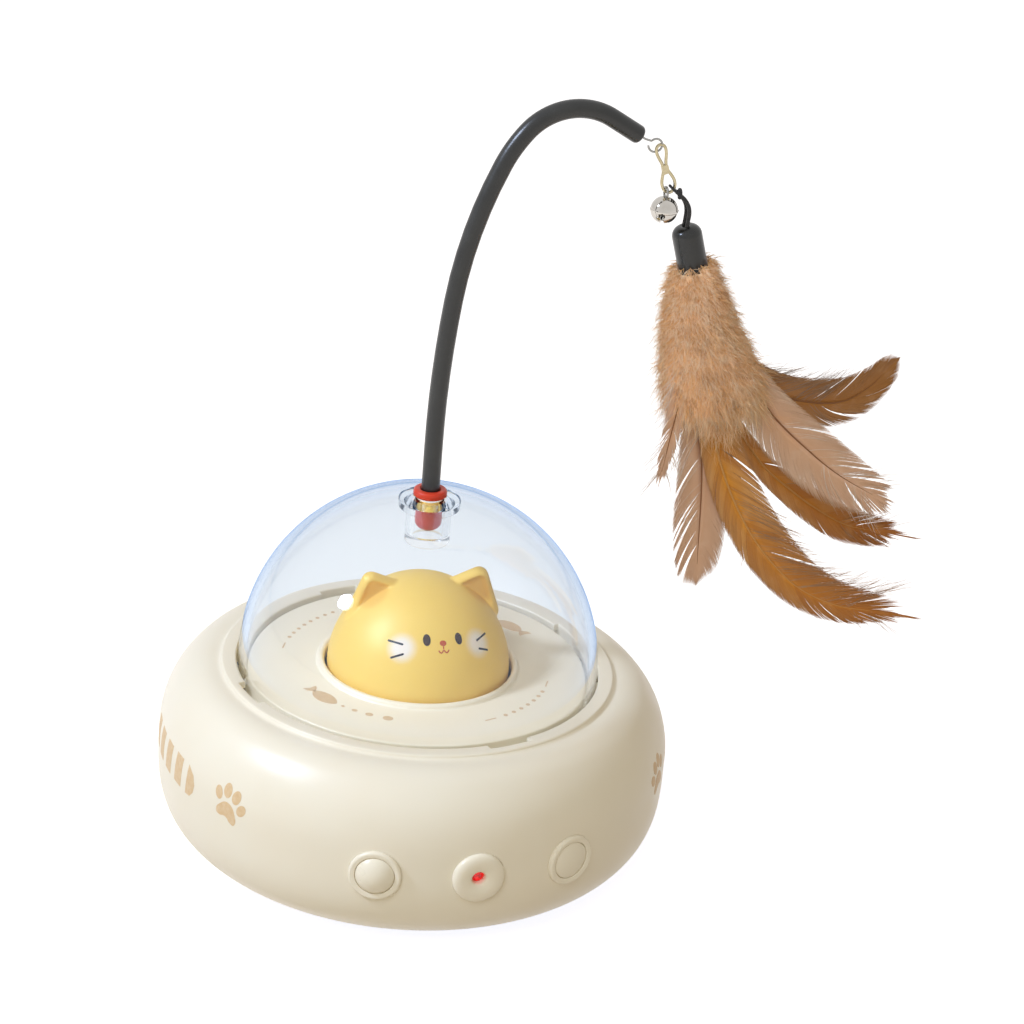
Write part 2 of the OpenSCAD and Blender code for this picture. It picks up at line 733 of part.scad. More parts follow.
// Push button: a crowned cap, a flange behind the bezel and a stem to the switch
module push_button(turn, crown) {
    rim_d = port_seat + 0.9;
    crown_r = (button_r * button_r + crown * crown) / (2 * crown);
    half = asin(button_r / crown_r);
    color("floralwhite") at_port(turn) rotate_extrude() polygon(concat(
        [[0, plunger_tip], [plunger_r + 0.4, plunger_tip], [plunger_r + 0.4, flange_d - flange_t]],
        [[button_r + 0.8, flange_d - flange_t], [button_r + 0.8, flange_d], [button_r, flange_d]],
        arc([0, rim_d + crown - crown_r], crown_r, 90 - half, 90, 10)));
}

module power_button() {
    push_button(-port_angle, button_crown);
}

module mode_button() {
    push_button(port_angle, mode_crown);
}

module push_plunger(turn) {
    color("black") at_port(turn) bar(plunger_r, switch_front - 1.4, plunger_tip);
}

module power_plunger() {
    push_plunger(-port_angle);
}

module mode_plunger() {
    push_plunger(port_angle);
}

// Clear dome with its skirt, four locking tabs and the socket cup for the rod
module dome() {
    skirt_z = shelf_top + free_gap;
    cup_floor = land_z - cup_depth + 2;
    color("lightblue", 0.4) difference() {
        union() {
            rotate_extrude($fn = 128) polygon(concat(
                [[dome_r - dome_wall, skirt_z], [dome_r, skirt_z]],
                arc([0, dome_z], dome_r, 0, 90, 40),
                reversed(arc([0, dome_z], dome_r - dome_wall, 0, 90, 36))));
            bar(cup_r, land_z - cup_depth, dome_top - dome_wall / 2);
            bar(cup_r + 1.9, dome_top - dome_wall - 2.4, dome_top - dome_wall + 0.4);
            for (a = [lock_turn:90:lock_turn + 270])
                rotate([0, 0, a - tab_angle / 2]) rotate_extrude(angle = tab_angle)
                    translate([dome_r - overlap, skirt_z])
                        square([tab_r - dome_r + overlap, rim_z - lock_lip - free_gap - skirt_z]);
        }
        bar(cup_bore, cup_floor, dome_top + 1);
        bar(cup_r, land_z, dome_top + 1);
    }
}

// Soft red plug in the socket cup, bored for the rod
module rod_plug() {
    low = land_z - plug_l;
    flange_z = land_z + 0.05;
    color("tomato") difference() {
        rotate_extrude() polygon(concat(
            arc([plug_r - 2.6, low + 2.6], 2.6, -90, 0, 6),
            [[plug_r, flange_z], [plug_flange_r - 0.3, flange_z]],
            arc([plug_flange_r - 0.8, flange_z + plug_flange_t - 0.8], 0.8, 0, 90, 4),
            [[0, flange_z + plug_flange_t], [0, low]]));
        bar(rod_d / 2 + bearing_gap, rod_foot_z - 0.1, dome_top + 9);
    }
}

// Solid or hollow tube through rings given as centre, heading in the rod's plane, outer and inner radius
module ring_tube(rings, sides) {
    n = len(rings);
    last = (n - 1) * sides;
    inner = n * sides;
    points = [for (which = [2, 3], g = rings, k = [0:sides - 1]) let (a = 360 * k / sides)
        g[0] + g[which] * [cos(a) * cos(g[1]), sin(a), -cos(a) * sin(g[1])]];
    skin = [for (i = [0:n - 2], k = [0:sides - 1]) let (a = i * sides + k, b = i * sides + (k + 1) % sides)
        each [[a, b + sides, b], [a, a + sides, b + sides]]];
    bore = [for (t = skin) [t[0] + inner, t[2] + inner, t[1] + inner]];
    ends = [for (k = [0:sides - 1]) let (b = (k + 1) % sides)
        each [[k, b, inner + b], [k, inner + b, inner + k],
            [last + k, inner + last + b, last + b], [last + k, inner + last + k, inner + last + b]]];
    polyhedron(points, concat(skin, bore, ends));
}

function bend_steps(i) = ceil((heading(i) - heading(i - 1)) / 6) + 1;
// Places along the bends as point and heading, from just inside the straight foot to the end of the last bend
rod_places = concat(
    [[[0, 0, rod_up_z - 0.5], 0]],
    [for (i = [0:len(rod_bends) - 1], k = [1:bend_steps(i)]) let (
            h0 = heading(i - 1),
            h = h0 + (heading(i) - h0) * k / bend_steps(i),
            p = bend_start(i) + rod_bends[i][0] * [cos(h0) - cos(h), sin(h) - sin(h0)])
        [[p[0], 0, p[1]], h]]);
function along_end(d) = let (p = bend_start(len(rod_bends)) + d * rod_dir) [[p[0], 0, p[1]], rod_last];

// Black sleeve: a true tube in the plug, then the bends and a rounded end
module rod_sleeve() {
    bore = wire_d / 2 + bore_gap;
    r = rod_d / 2;
    rounded = [[1, 0], [0.6, 0.1], [0.25, 0.35], [0.05, 0.7], [0, 1]];
    rings = concat(
        [for (i = [0:len(rod_places) - 1]) concat(rod_places[i], [i == 0 ? r - 0.03 : r, bore + 0.01])],
        [for (q = rounded) concat(along_end(rod_end - q[0]), [r - q[1], bore + 0.01])]);
    color("dimgray") union() {
        ring(r, bore, rod_foot_z, rod_up_z);
        ring_tube(rings, 20);
    }
}

// Steel wire through the whole sleeve, with an eye at its end
module rod_wire() {
    r = wire_d / 2;
    path = concat([for (g = rod_places) g[0]], [along_end(rod_end + wire_out + 0.3)[0]]);
    color("silver") union() {
        bar(r, rod_foot_z, rod_up_z);
        swept_tube(path, r - 0.02, 12);
        translate([eye_c[0], 0, eye_c[1]]) rotate([0, rod_last - 90, 0])
            rotate_extrude($fn = 48) translate([eye_r, 0]) circle(r = r, $fn = 24);
    }
}

// Ring of wire in the rod's plane
module plane_ring(c, r, wire) {
    translate([c[0], 0, c[1]]) rotate([90, 0, 0])
        rotate_extrude($fn = 48) translate([r, 0]) circle(r = wire, $fn = 24);
}

// Wire snap: two loops joined by a wound neck
module snap_hook() {
    neck = snap_up + snap_top_r * snap_dir;
    color("goldenrod") union() {
        plane_ring(snap_up, snap_top_r, snap_wire);
        plane_ring(snap_down, snap_low_r, snap_wire);
        translate([neck[0], 0, neck[1]]) rotate([0, 180 - snap_tilt, 0]) {
            bar(snap_wire, -snap_wire / 2, snap_neck + snap_wire / 2);
            for (k = [0:3]) translate([0, 0, 0.55 + k * (snap_neck - 1.1) / 3])
                rotate_extrude($fn = 32) translate([2 * snap_wire - 0.1, 0]) circle(r = snap_wire, $fn = 16);
        }
    }
}

// Round bell with crossed slots below and its hanging loop above
module bell_shell() {
    loop_z = bell_r + bell_loop_r - 0.25;
    slot_w = 0.8;
    color("silver") translate([bell_c[0], 0, bell_c[1]]) difference() {
        union() {
            sphere(r = bell_r);
            translate([0, 0, loop_z]) rotate([0, 90, 0])
                rotate_extrude($fn = 32) translate([bell_loop_r, 0]) circle(r = bell_loop_wire, $fn = 16);
        }
        sphere(r = bell_r - bell_wall);
        for (a = [0, 90]) rotate([0, 0, a])
            translate([-bell_r, -slot_w / 2, -bell_r - 1]) cube([2 * bell_r, slot_w, bell_r + 0.2]);
    }
}

module bell_pellet() {
    pellet_r = 0.9;
    low = bell_c[1] - bell_r + bell_wall;
    color("gray") translate([bell_c[0], 0, low + pellet_r]) sphere(r = pellet_r, $fn = 24);
}

// Loop of cord from the cap through the snap, as points beside the snap's low end
cord_half = [[4.8, 1.1, -9.2], [5, 1.1, -7.2], [5.1, 1.2, -5.2], [4.7, 1.25, -3.4], [3.6, 1.25, -1.7],
    [2.1, 1.2, -0.4], [0.8, 1.05, 0.7], [0.2, 0.6, 1.35], [0, 0, 1.55]];
cord_other = [for (i = [len(cord_half) - 2:-1:0]) let (p = cord_half[i]) [p[0], -p[1], p[2]]];
cord_path = [for (q = concat(cord_half, cord_other)) [snap_low[0] + q[0], q[1], snap_low[1] + q[2]]];
function unit(v) = v / norm(v);
function tangent(path, i) = unit(path[min(i + 1, len(path) - 1)] - path[max(i - 1, 0)]);

// Tube swept along a path, with rings square to it
module swept_tube(path, r, sides) {
    n = len(path);
    points = [for (i = [0:n - 1]) let (
            t = tangent(path, i),
            u = unit(cross(t, [0.3, 0.1, 1])),
            v = cross(t, u))
        for (k = [0:sides - 1]) path[i] + r * (cos(360 * k / sides) * u + sin(360 * k / sides) * v)];
    walls = [for (i = [0:n - 2], k = [0:sides - 1]) let (a = i * sides + k, b = i * sides + (k + 1) % sides)
        each [[a, b + sides, b], [a, a + sides, b + sides]]];
    last = (n - 1) * sides;
    caps = [for (k = [1:sides - 2]) each [[0, k, k + 1], [last, last + k + 1, last + k]]];
    polyhedron(points, concat(walls, caps));
}

module lure_cord() {
    color("black") swept_tube(cord_path, cord_r, 8);
}

// Frame of the lure: the cap's top at the origin, the lure hanging down -Z
module at_lure() {
    translate([lure_top[0], 0, lure_top[1]]) rotate([0, -lure_tilt, 0]) children();
}

module lure_cap() {
    round_r = 2.6;
    color("black") at_lure() rotate_extrude() polygon(concat(
        [[0, quill_z], [0, 0], [cap_r - round_r, 0]],
        arc([cap_r - round_r, -round_r], round_r, 90, 0, 6),
        [[cap_r, -cap_l], [cap_r - cap_wall, -cap_l], [cap_r - cap_wall, quill_z]]));
}

// Fluff: a soft cone that swells below the cap and rounds off
module fluff() {
    color("burlywood") at_lure() rotate_extrude($fn = 48) polygon(concat(
        [[0, -cap_l + 3], [cap_r - cap_wall - fit_gap, -cap_l + 3], [cap_r - cap_wall - fit_gap, -cap_l - 0.3]],
        [for (i = [1:10]) [cap_r + (fluff_r - cap_r) * sin(9 * i), -cap_l - 0.3 - (fluff_l - 8) * i / 10]],
        [for (a = [15:15:90]) [fluff_r * cos(a), -cap_l - 0.3 - fluff_l + 8 - 8 * sin(a)]]));
}

// Feather: a thin curved leaf with a bare quill
module feather(i) {
    f = feather_list[i];
    a = [f[0][0], -feather_start];
    b = [f[0][1], -f[1][0]];
    c = [f[0][2], -f[1][1]];
    steps = 14;
    side = [for (k = [0:steps]) let (t = k / steps, d = unit(slope(a, b, c, t)), w = f[2] * vane(t))
        [bezier(a, b, c, t), w * [-d[1], d[0]]]];
    outline = concat([for (s = side) s[0] + s[1]], [for (s = reversed(side)) s[0] - s[1]]);
    color("peru") at_lure() translate([0, f[4], 0]) rotate([0, 0, f[3]])
        rotate([90, 0, 0]) translate([0, 0, -feather_t / 2]) linear_extrude(feather_t) polygon(outline);
}

module feather_1() { feather(0); }
module feather_2() { feather(1); }
module feather_3() { feather(2); }
module feather_4() { feather(3); }
module feather_5() { feather(4); }
module feather_6() { feather(5); }
module feather_7() { feather(6); }

foot_pad();
foot_disc();
sun_gear();
thrust_washer();
axle_washer();
axle_screw();
lower_shell();
upper_shell();
body_screws();
deck_plate();
deck_screws();
cat_head();
head_screws();
power_bezel();
mode_bezel();
laser_bezel();
laser_barrel();
laser_lens();
main_board();
board_screws();
power_switch();
mode_switch();
battery_cell();
battery_cradle();
gear_plate();
plate_screws();
gear_pin();
motor_can();
charge_socket();
drive_gear();
motor_shaft();
motor_pinion();
power_button();
power_plunger();
mode_button();
mode_plunger();
dome();
rod_plug();
rod_sleeve();
rod_wire();
snap_hook();
bell_shell();
bell_pellet();
lure_cord();
lure_cap();
fluff();
feather_1();
feather_2();
feather_3();
feather_4();
feather_5();
feather_6();
feather_7();
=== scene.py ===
import bisect
import math
import random

import bmesh
import bpy
from mathutils import Matrix, Vector


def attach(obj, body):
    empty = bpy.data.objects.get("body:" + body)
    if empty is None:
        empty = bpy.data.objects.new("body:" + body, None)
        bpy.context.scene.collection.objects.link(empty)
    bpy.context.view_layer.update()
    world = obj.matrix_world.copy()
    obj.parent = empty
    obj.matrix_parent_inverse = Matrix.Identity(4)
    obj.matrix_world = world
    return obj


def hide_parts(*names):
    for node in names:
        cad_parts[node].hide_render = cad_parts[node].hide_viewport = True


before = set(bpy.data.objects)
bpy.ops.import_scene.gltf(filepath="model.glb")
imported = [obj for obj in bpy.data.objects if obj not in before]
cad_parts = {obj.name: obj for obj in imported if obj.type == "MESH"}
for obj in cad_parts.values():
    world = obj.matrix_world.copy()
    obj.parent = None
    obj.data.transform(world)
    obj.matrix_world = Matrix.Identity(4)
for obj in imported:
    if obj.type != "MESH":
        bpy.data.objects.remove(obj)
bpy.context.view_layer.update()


# Studio: a pale floor under a white sky, a round key lamp at the left that also makes the
# round glint on the dome, and one wide soft lamp at the front left. The camera stands
# where the photograph was taken from.
MM = 0.001
FLOOR_RADIUS = 3.0
FLOOR_GLOW, FLOOR_GLOW_IN_GLASS = 0.96, 0.74
FLOOR_TINT = "F1F5FF"
SKY_LIGHT = 0.34
SKY_TINT = "FFE8B9"
MIRROR_TINT, GLASS_TINT = "3E9CEC", "CFE4FC"


def linear(code):
    """An sRGB hex colour as a linear colour with full alpha."""
    parts = [int(code[i:i + 2], 16) / 255 for i in (0, 2, 4)]
    return [p / 12.92 if p <= 0.04045 else ((p + 0.055) / 1.055) ** 2.4 for p in parts] + [1.0]


def node(owner, kind, settings):
    """Adds a shader node. A setting is a property or a socket; a socket takes a constant, an output or a whole
    node, whose first output is linked."""
    made = owner.node_tree.nodes.new("ShaderNode" + kind)
    for key, value in settings.items():
        if key in made.bl_rna.properties:
            setattr(made, key, value)
            continue
        socket = next(s for s in made.inputs if s.enabled and key in (s.name, s.identifier))
        if isinstance(value, bpy.types.Node):
            value = next(s for s in value.outputs if s.enabled)
        if isinstance(value, bpy.types.NodeSocket):
            owner.node_tree.links.new(value, socket)
        else:
            socket.default_value = value
    return made


def bare_material(name):
    """A material with an empty node tree."""
    made = bpy.data.materials.new(name)
    made.use_nodes = True
    made.node_tree.nodes.clear()
    return made


def seen_by_eye(owner):
    """1 for camera, mirror and glass rays, 0 for rays that carry light."""
    path = node(owner, "LightPath", {})
    sharp = node(owner, "Math", {"operation": "ADD", "Value": path.outputs["Is Camera Ray"],
                                 "Value_001": path.outputs["Is Glossy Ray"]})
    return node(owner, "Math", {"operation": "ADD", "use_clamp": True, "Value": sharp,
                                "Value_001": path.outputs["Is Transmission Ray"]})


def seen_in_polish(owner):
    """1 for rays off a polished face, which find the blue of a window in the studio, and 0 for others."""
    path = node(owner, "LightPath", {})
    return node(owner, "Math", {"operation": "MULTIPLY", "Value": path.outputs["Is Singular Ray"],
                                "Value_001": path.outputs["Is Reflection Ray"]})


def matt_floor_paint():
    """Matt white floor paint that keeps a soft shadow, lifted to the white of the sky where it is seen."""
    made = bare_material("matt_floor_paint")
    matt = node(made, "BsdfDiffuse", {"Color": linear("C7BAA1")})
    in_glass = node(made, "LightPath", {}).outputs["Is Transmission Ray"]
    level = node(made, "MapRange", {"Value": in_glass, "To Min": FLOOR_GLOW, "To Max": FLOOR_GLOW_IN_GLASS})
    lift = node(made, "Math", {"operation": "MULTIPLY", "Value": seen_by_eye(made), "Value_001": level})
    cool = node(made, "Mix", {"data_type": "RGBA", "Factor": in_glass, "A": linear(FLOOR_TINT),
                              "B": linear(GLASS_TINT)})
    white = node(made, "Mix", {"data_type": "RGBA", "Factor": seen_in_polish(made), "A": cool,
                               "B": linear(MIRROR_TINT)})
    glow = node(made, "Emission", {"Color": white, "Strength": lift})
    both = node(made, "AddShader", {"Shader": matt, "Shader_001": glow})
    node(made, "OutputMaterial", {"Surface": both})
    return made


floor_mesh = bpy.data.meshes.new("floor")
floor_disc = bmesh.new()
bmesh.ops.create_circle(floor_disc, cap_ends=True, radius=FLOOR_RADIUS, segments=96)
floor_disc.to_mesh(floor_mesh)
floor_disc.free()
floor = bpy.data.objects.new("floor", floor_mesh)
floor.data.materials.append(matt_floor_paint())
bpy.context.scene.collection.objects.link(floor)

sky = bpy.data.worlds.new("sky")
sky.use_nodes = True
sky.node_tree.nodes.clear()
sky_level = node(sky, "MapRange", {"Value": seen_by_eye(sky), "To Min": SKY_LIGHT, "To Max": 1.0})
sky_seen = node(sky, "Mix", {"data_type": "RGBA", "Factor": seen_by_eye(sky), "A": linear(SKY_TINT),
                             "B": linear("FFFFFF")})
sky_tint = node(sky, "Mix", {"data_type": "RGBA", "Factor": seen_in_polish(sky), "A": sky_seen,
                             "B": linear(MIRROR_TINT)})
sky_glow = node(sky, "Background", {"Color": sky_tint, "Strength": sky_level})
node(sky, "OutputWorld", {"Surface": sky_glow})
bpy.context.scene.world = sky
bpy.context.scene.view_settings.view_transform = "Standard"

# name, place and aim in metres, shape, width, power in watts, colour
LAMPS = [
    ("key_lamp", (-0.78, -0.04, 0.73), (0, 0, 0.05), "DISK", 0.16, 7.0, "D2E2FF"),
    ("soft_lamp", (-0.64, -1.0, 1.2), (0, 0, 0.08), "SQUARE", 0.9, 13.2, "E4F0FF"),
]
for name, place, aim, shape, width, power, tint in LAMPS:
    lamp = bpy.data.lights.new(name, "AREA")
    lamp.shape = shape
    lamp.size = width
    lamp.energy = power
    lamp.color = linear(tint)[:3]
    stand = bpy.data.objects.new(name, lamp)
    stand.location = place
    stand.rotation_euler = (Vector(aim) - Vector(place)).to_track_quat("-Z", "Y").to_euler()
    stand.visible_glossy = stand.visible_transmission = shape == "DISK"
    bpy.context.scene.collection.objects.link(stand)

VIEW_TURN = math.radians(-17.9)
VIEW_RISE = math.radians(23.8)
VIEW_ROLL = math.radians(4.82)
VIEW_FAR = 0.77305
LENS_PIXELS = 3000
FRAME_PIXELS = 1024
SENSOR = 36.0
EQUATOR = Vector((0, 0, 0.030))
EQUATOR_PIXEL = (412.5, 738.1)

view_right = Vector((math.cos(VIEW_TURN), math.sin(VIEW_TURN), 0))
view_back = Vector((math.sin(VIEW_TURN) * math.cos(VIEW_RISE), -math.cos(VIEW_TURN) * math.cos(VIEW_RISE),
                    math.sin(VIEW_RISE)))
view_up = view_back.cross(view_right)
roll_right = view_right * math.cos(VIEW_ROLL) + view_up * math.sin(VIEW_ROLL)
roll_up = view_up * math.cos(VIEW_ROLL) - view_right * math.sin(VIEW_ROLL)
aside, above = [(p - FRAME_PIXELS / 2) / LENS_PIXELS * VIEW_FAR for p in EQUATOR_PIXEL]
camera_data = bpy.data.cameras.new("camera")
camera_data.sensor_width = SENSOR
camera_data.lens = LENS_PIXELS / FRAME_PIXELS * SENSOR
camera = bpy.data.objects.new("camera", camera_data)
camera_at = EQUATOR - roll_right * aside + roll_up * above + view_back * VIEW_FAR
turn = Matrix((roll_right, roll_up, view_back)).transposed().to_4x4()
camera.matrix_world = Matrix.Translation(camera_at) @ turn
bpy.context.scene.collection.objects.link(camera)
bpy.context.scene.camera = camera


# Saucer shells: two moulded halves of cream ABS that meet at a seam near the floor. The
# upper one carries the raised rim with four notches for the dome's tabs, three portholes
# at the front and a charging slot at the back; the lower one is a pan held by four screws.
BODY_R = 65.0
EQUATOR_Z = 30.0
UPPER_H, UPPER_POWER = 31.9, 2.6
LOWER_H, LOWER_POWER = 30.2, 3.36
WALL = 2.0
SHOULDER_R = 10.0
SHOULDER_AT = BODY_R - 6.3
RIM_H, RIM_W = 1.1, 3.9
DOME_R, DOME_WALL, DOME_GAP = BODY_R - 19.3, 2.0, 0.4
BELLY_Z, SEAM_Z = 2.5, 7.0
SEAM_CHAMFER = 0.25
NOTCH_AT, NOTCH_ANGLE = 14.0, 14.0
TWIST_ANGLE, TAB_ANGLE = 20.0, 11.0
LOCK_LIP = 1.8
PORT_Z, PORT_ANGLE, PORT_R = 27.2, 22.0, 6.5
FOOT_R = BODY_R - 28.5
BEARING_R = 11.0
SCREW_HEAD_R = 2.3
PRY_AT, PRY_HALF, PRY_DEEP = -153.0, 4.0, 6.0
SOCKET_W, SOCKET_H, SOCKET_Z, SOCKET_FIT = 9.0, 3.2, 15.0, 0.1
CREAM = "EFE8D5"


def cos(degrees):
    return math.cos(math.radians(degrees))


def sin(degrees):
    return math.sin(math.radians(degrees))


def arc(centre, r, start, end, steps):
    """Points of a circular arc as radius and height."""
    return [(centre[0] + r * cos(start + (end - start) * i / steps),
             centre[1] + r * sin(start + (end - start) * i / steps)) for i in range(steps + 1)]


def flank(r, h, power, start, end, steps, side):
    """Points on the saucer's rounded flank, from angle start to end off the equator, above or below it."""
    turns = [start + (end - start) * i / steps for i in range(steps + 1)]
    return [(r * cos(t) ** (2 / power), EQUATOR_Z + side * h * sin(t) ** (2 / power)) for t in turns]


def lathe(profile_at, angles, closed=False, at=(0, 0)):
    """Points and faces of a profile turned about an upright axis; profile_at gives its points at an angle."""
    verts, faces = [], []
    for a in angles:
        verts += [(at[0] + r * cos(a), at[1] + r * sin(a), z) for r, z in profile_at(a)]
    n = len(verts) // len(angles)
    for i in range(len(angles)):
        here, after = i * n, (i + 1) % len(angles) * n
        for j in range(n if closed else n - 1):
            k = (j + 1) % n
            faces.append((here + j, after + j, after + k, here + k))
    return verts, faces


def even_turn(columns):
    return [360 * i / columns for i in range(columns)]


def joined(parts):
    """Several lists of points and faces as one."""
    verts, faces = [], []
    for more, sides in parts:
        base = len(verts)
        verts += more
        faces += [[base + i for i in side] for side in sides]
    return verts, faces


def solid(name, shape, place=Matrix.Identity(4), sharp=32):
    """A smooth mesh object from points in mm; edges over the angle sharp stay crisp."""
    verts, faces = shape
    mesh = bpy.data.meshes.new(name)
    mesh.from_pydata([place @ Vector(v) * MM for v in verts], [], faces)
    tidy = bmesh.new()
    tidy.from_mesh(mesh)
    bmesh.ops.remove_doubles(tidy, verts=tidy.verts, dist=1e-6 * MM)
    bmesh.ops.dissolve_degenerate(tidy, edges=tidy.edges, dist=1e-6 * MM)
    bmesh.ops.recalc_face_normals(tidy, faces=tidy.faces)
    tidy.to_mesh(mesh)
    tidy.free()
    shade(mesh, sharp)
    made = bpy.data.objects.new(name, mesh)
    bpy.context.scene.collection.objects.link(made)
    return made


def shade(mesh, sharp):
    mesh.polygons.foreach_set("use_smooth", [True] * len(mesh.polygons))
    mesh.set_sharp_from_angle(angle=math.radians(sharp))


def settled(obj):
    """Applies all modifiers of a mesh object."""
    seen = obj.evaluated_get(bpy.context.evaluated_depsgraph_get())
    mesh = bpy.data.meshes.new_from_object(seen)
    obj.modifiers.clear()
    obj.data = mesh
    return obj


def carve(obj, cutters, sharp=32):
    """Cuts other solids out of a solid and removes them."""
    for cutter in cutters:
        cut = obj.modifiers.new("cut", "BOOLEAN")
        cut.object = cutter
        cut.solver = "EXACT"
    settled(obj)
    for cutter in cutters:
        bpy.data.objects.remove(cutter)
    shade(obj.data, sharp)
    return obj


def dress(obj, material, body, slot, *nodes):
    """Gives a piece its material and the body that carries it, and hides the CAD nodes it stands for; slot is not
    used.
    """
    obj.data.materials.clear()
    obj.data.materials.append(material)
    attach(obj, body)
    if nodes:
        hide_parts(*nodes)
    return obj


def mottled(name, colour, deep, blots, rubs, gloss, grain, depth, skin):
    """A made surface, which is never quite even. Blots, rubs and grain are noises as a size in mm and a detail.
    Blots break one colour with another, from and to a level that follows in them; rubs vary the roughness
    between the two in gloss; grain raises the surface by a depth in mm. Skin is the shader's other settings."""
    made = bare_material(name)
    where = node(made, "TexCoord", {}).outputs["Object"]
    cloud, wear, bumps = [node(made, "TexNoise", {"Vector": where, "Scale": 1 / (size * MM), "Detail": detail})
                          for size, detail in (blots[:2], rubs, grain)]
    share = node(made, "MapRange", {"Value": cloud, "From Min": blots[2], "From Max": blots[3]})
    colours = node(made, "Mix", {"data_type": "RGBA", "Factor": share, "A": linear(colour), "B": linear(deep)})
    rough = node(made, "MapRange", {"Value": wear, "From Min": 0.35, "From Max": 0.65,
                                    "To Min": gloss[0], "To Max": gloss[1]})
    relief = node(made, "Bump", {"Height": bumps, "Distance": depth * MM})
    surface = node(made, "BsdfPrincipled", {"Base Color": colours, "Roughness": rough, "Normal": relief, **skin})
    node(made, "OutputMaterial", {"Surface": surface})
    return made


def moulded_abs(name, colour, deep, rough):
    """Injection-moulded ABS: an even colour with a faint cloud, a satin gloss that varies a
    little, and the fine spark-eroded grain of the mould, drawn coarser than life to show."""
    return mottled(name, colour, deep, (22, 2.0, 0, 1), (9, 3.0), (rough - 0.03, rough + 0.04), (0.55, 2.0), 0.004,
                   {"IOR": 1.53, "Subsurface Weight": 0.06, "Subsurface Radius": (0.6, 0.5, 0.35),
                    "Subsurface Scale": 2 * MM})


cream_abs = moulded_abs("cream_moulded_abs", CREAM, "ECE1CA", 0.33)

upper_t = math.degrees(math.acos((SHOULDER_AT / BODY_R) ** (UPPER_POWER / 2)))
shoulder_dz = UPPER_H * sin(upper_t) ** (2 / UPPER_POWER)
shoulder_slope = math.degrees(math.atan(UPPER_H / BODY_R * (SHOULDER_AT / BODY_R) ** (UPPER_POWER - 1)
                                        / (shoulder_dz / UPPER_H) ** (UPPER_POWER - 1)))
shoulder_c = (SHOULDER_AT - SHOULDER_R * sin(shoulder_slope),
              EQUATOR_Z + shoulder_dz - SHOULDER_R * cos(shoulder_slope))
shoulder_z = shoulder_c[1] + SHOULDER_R
belly_at = BODY_R - 13
lower_t = math.degrees(math.acos((belly_at / BODY_R) ** (LOWER_POWER / 2)))
belly_dz = LOWER_H * sin(lower_t) ** (2 / LOWER_POWER)
belly_slope = math.degrees(math.atan(LOWER_H / BODY_R * (belly_at / BODY_R) ** (LOWER_POWER - 1)
                                     / (belly_dz / LOWER_H) ** (LOWER_POWER - 1)))
belly_arc_r = (EQUATOR_Z - belly_dz - BELLY_Z) / (1 - cos(belly_slope))
belly_c = (belly_at - belly_arc_r * sin(belly_slope), BELLY_Z + belly_arc_r)
seam_t = math.degrees(math.asin(((EQUATOR_Z - SEAM_Z) / LOWER_H) ** (LOWER_POWER / 2)))
seam_in_t = math.degrees(math.asin(((EQUATOR_Z - SEAM_Z) / (LOWER_H - WALL)) ** (LOWER_POWER / 2)))
seam_in_r = (BODY_R - WALL) * cos(seam_in_t) ** (2 / LOWER_POWER)
seam_out_r = BODY_R * cos(seam_t) ** (2 / LOWER_POWER)

rim_in_r = DOME_R + DOME_GAP
rim_out_r = rim_in_r + RIM_W
rim_z = shoulder_z + RIM_H
groove_r = rim_in_r + 1.9
notch_r = groove_r - 0.3
tab_r = notch_r - 0.3
shelf_top = rim_z - 4.7
shelf_z = shelf_top - WALL
shelf_r = DOME_R - 9.7
skirt_r = groove_r + 2.2
floor_top = BELLY_Z + 5
recess_z = floor_top - WALL
recess_r = FOOT_R + 1
screw_ring_r = rim_in_r + 1.4


def in_notch(angle):
    return abs((angle - NOTCH_AT + 45) % 90 - 45) < NOTCH_ANGLE / 2


def upper_profile(angle):
    """The upper shell's section, with the rim's inner edge set back in the notches."""
    back = notch_r - rim_in_r if in_notch(angle) else 0
    return ([(seam_in_r + 0.2, SEAM_Z), (seam_out_r - SEAM_CHAMFER, SEAM_Z)]
            + flank(BODY_R, LOWER_H, LOWER_POWER, seam_t - 0.8, 0, 30, -1)
            + flank(BODY_R, UPPER_H, UPPER_POWER, upper_t / 36, upper_t, 35, 1)
            + arc(shoulder_c, SHOULDER_R, 90 - shoulder_slope * 15 / 16, 90, 15)
            + [(rim_out_r + 0.9, shoulder_z), (rim_out_r + 0.5, shoulder_z + 0.08),
               (rim_out_r + 0.2, shoulder_z + 0.3)]
            + arc((rim_out_r - 0.6, rim_z - 0.6), 0.6, 0, 90, 6)
            + arc((rim_in_r + 0.5 + back, rim_z - 0.5), 0.5, 90, 180, 6)
            + [(rim_in_r + back, rim_z - LOCK_LIP), (groove_r, rim_z - LOCK_LIP), (groove_r, shelf_top),
               (shelf_r, shelf_top), (shelf_r, shelf_z), (skirt_r, shelf_z), (skirt_r, shoulder_z - WALL - 0.7)]
            + arc(shoulder_c, SHOULDER_R - WALL, 82, 92 - shoulder_slope, 4)
            + flank(BODY_R - WALL, UPPER_H - WALL, UPPER_POWER, upper_t - 4, 0, 10, 1)
            + flank(BODY_R - WALL, LOWER_H - WALL, LOWER_POWER, 6, seam_in_t, 10, -1))


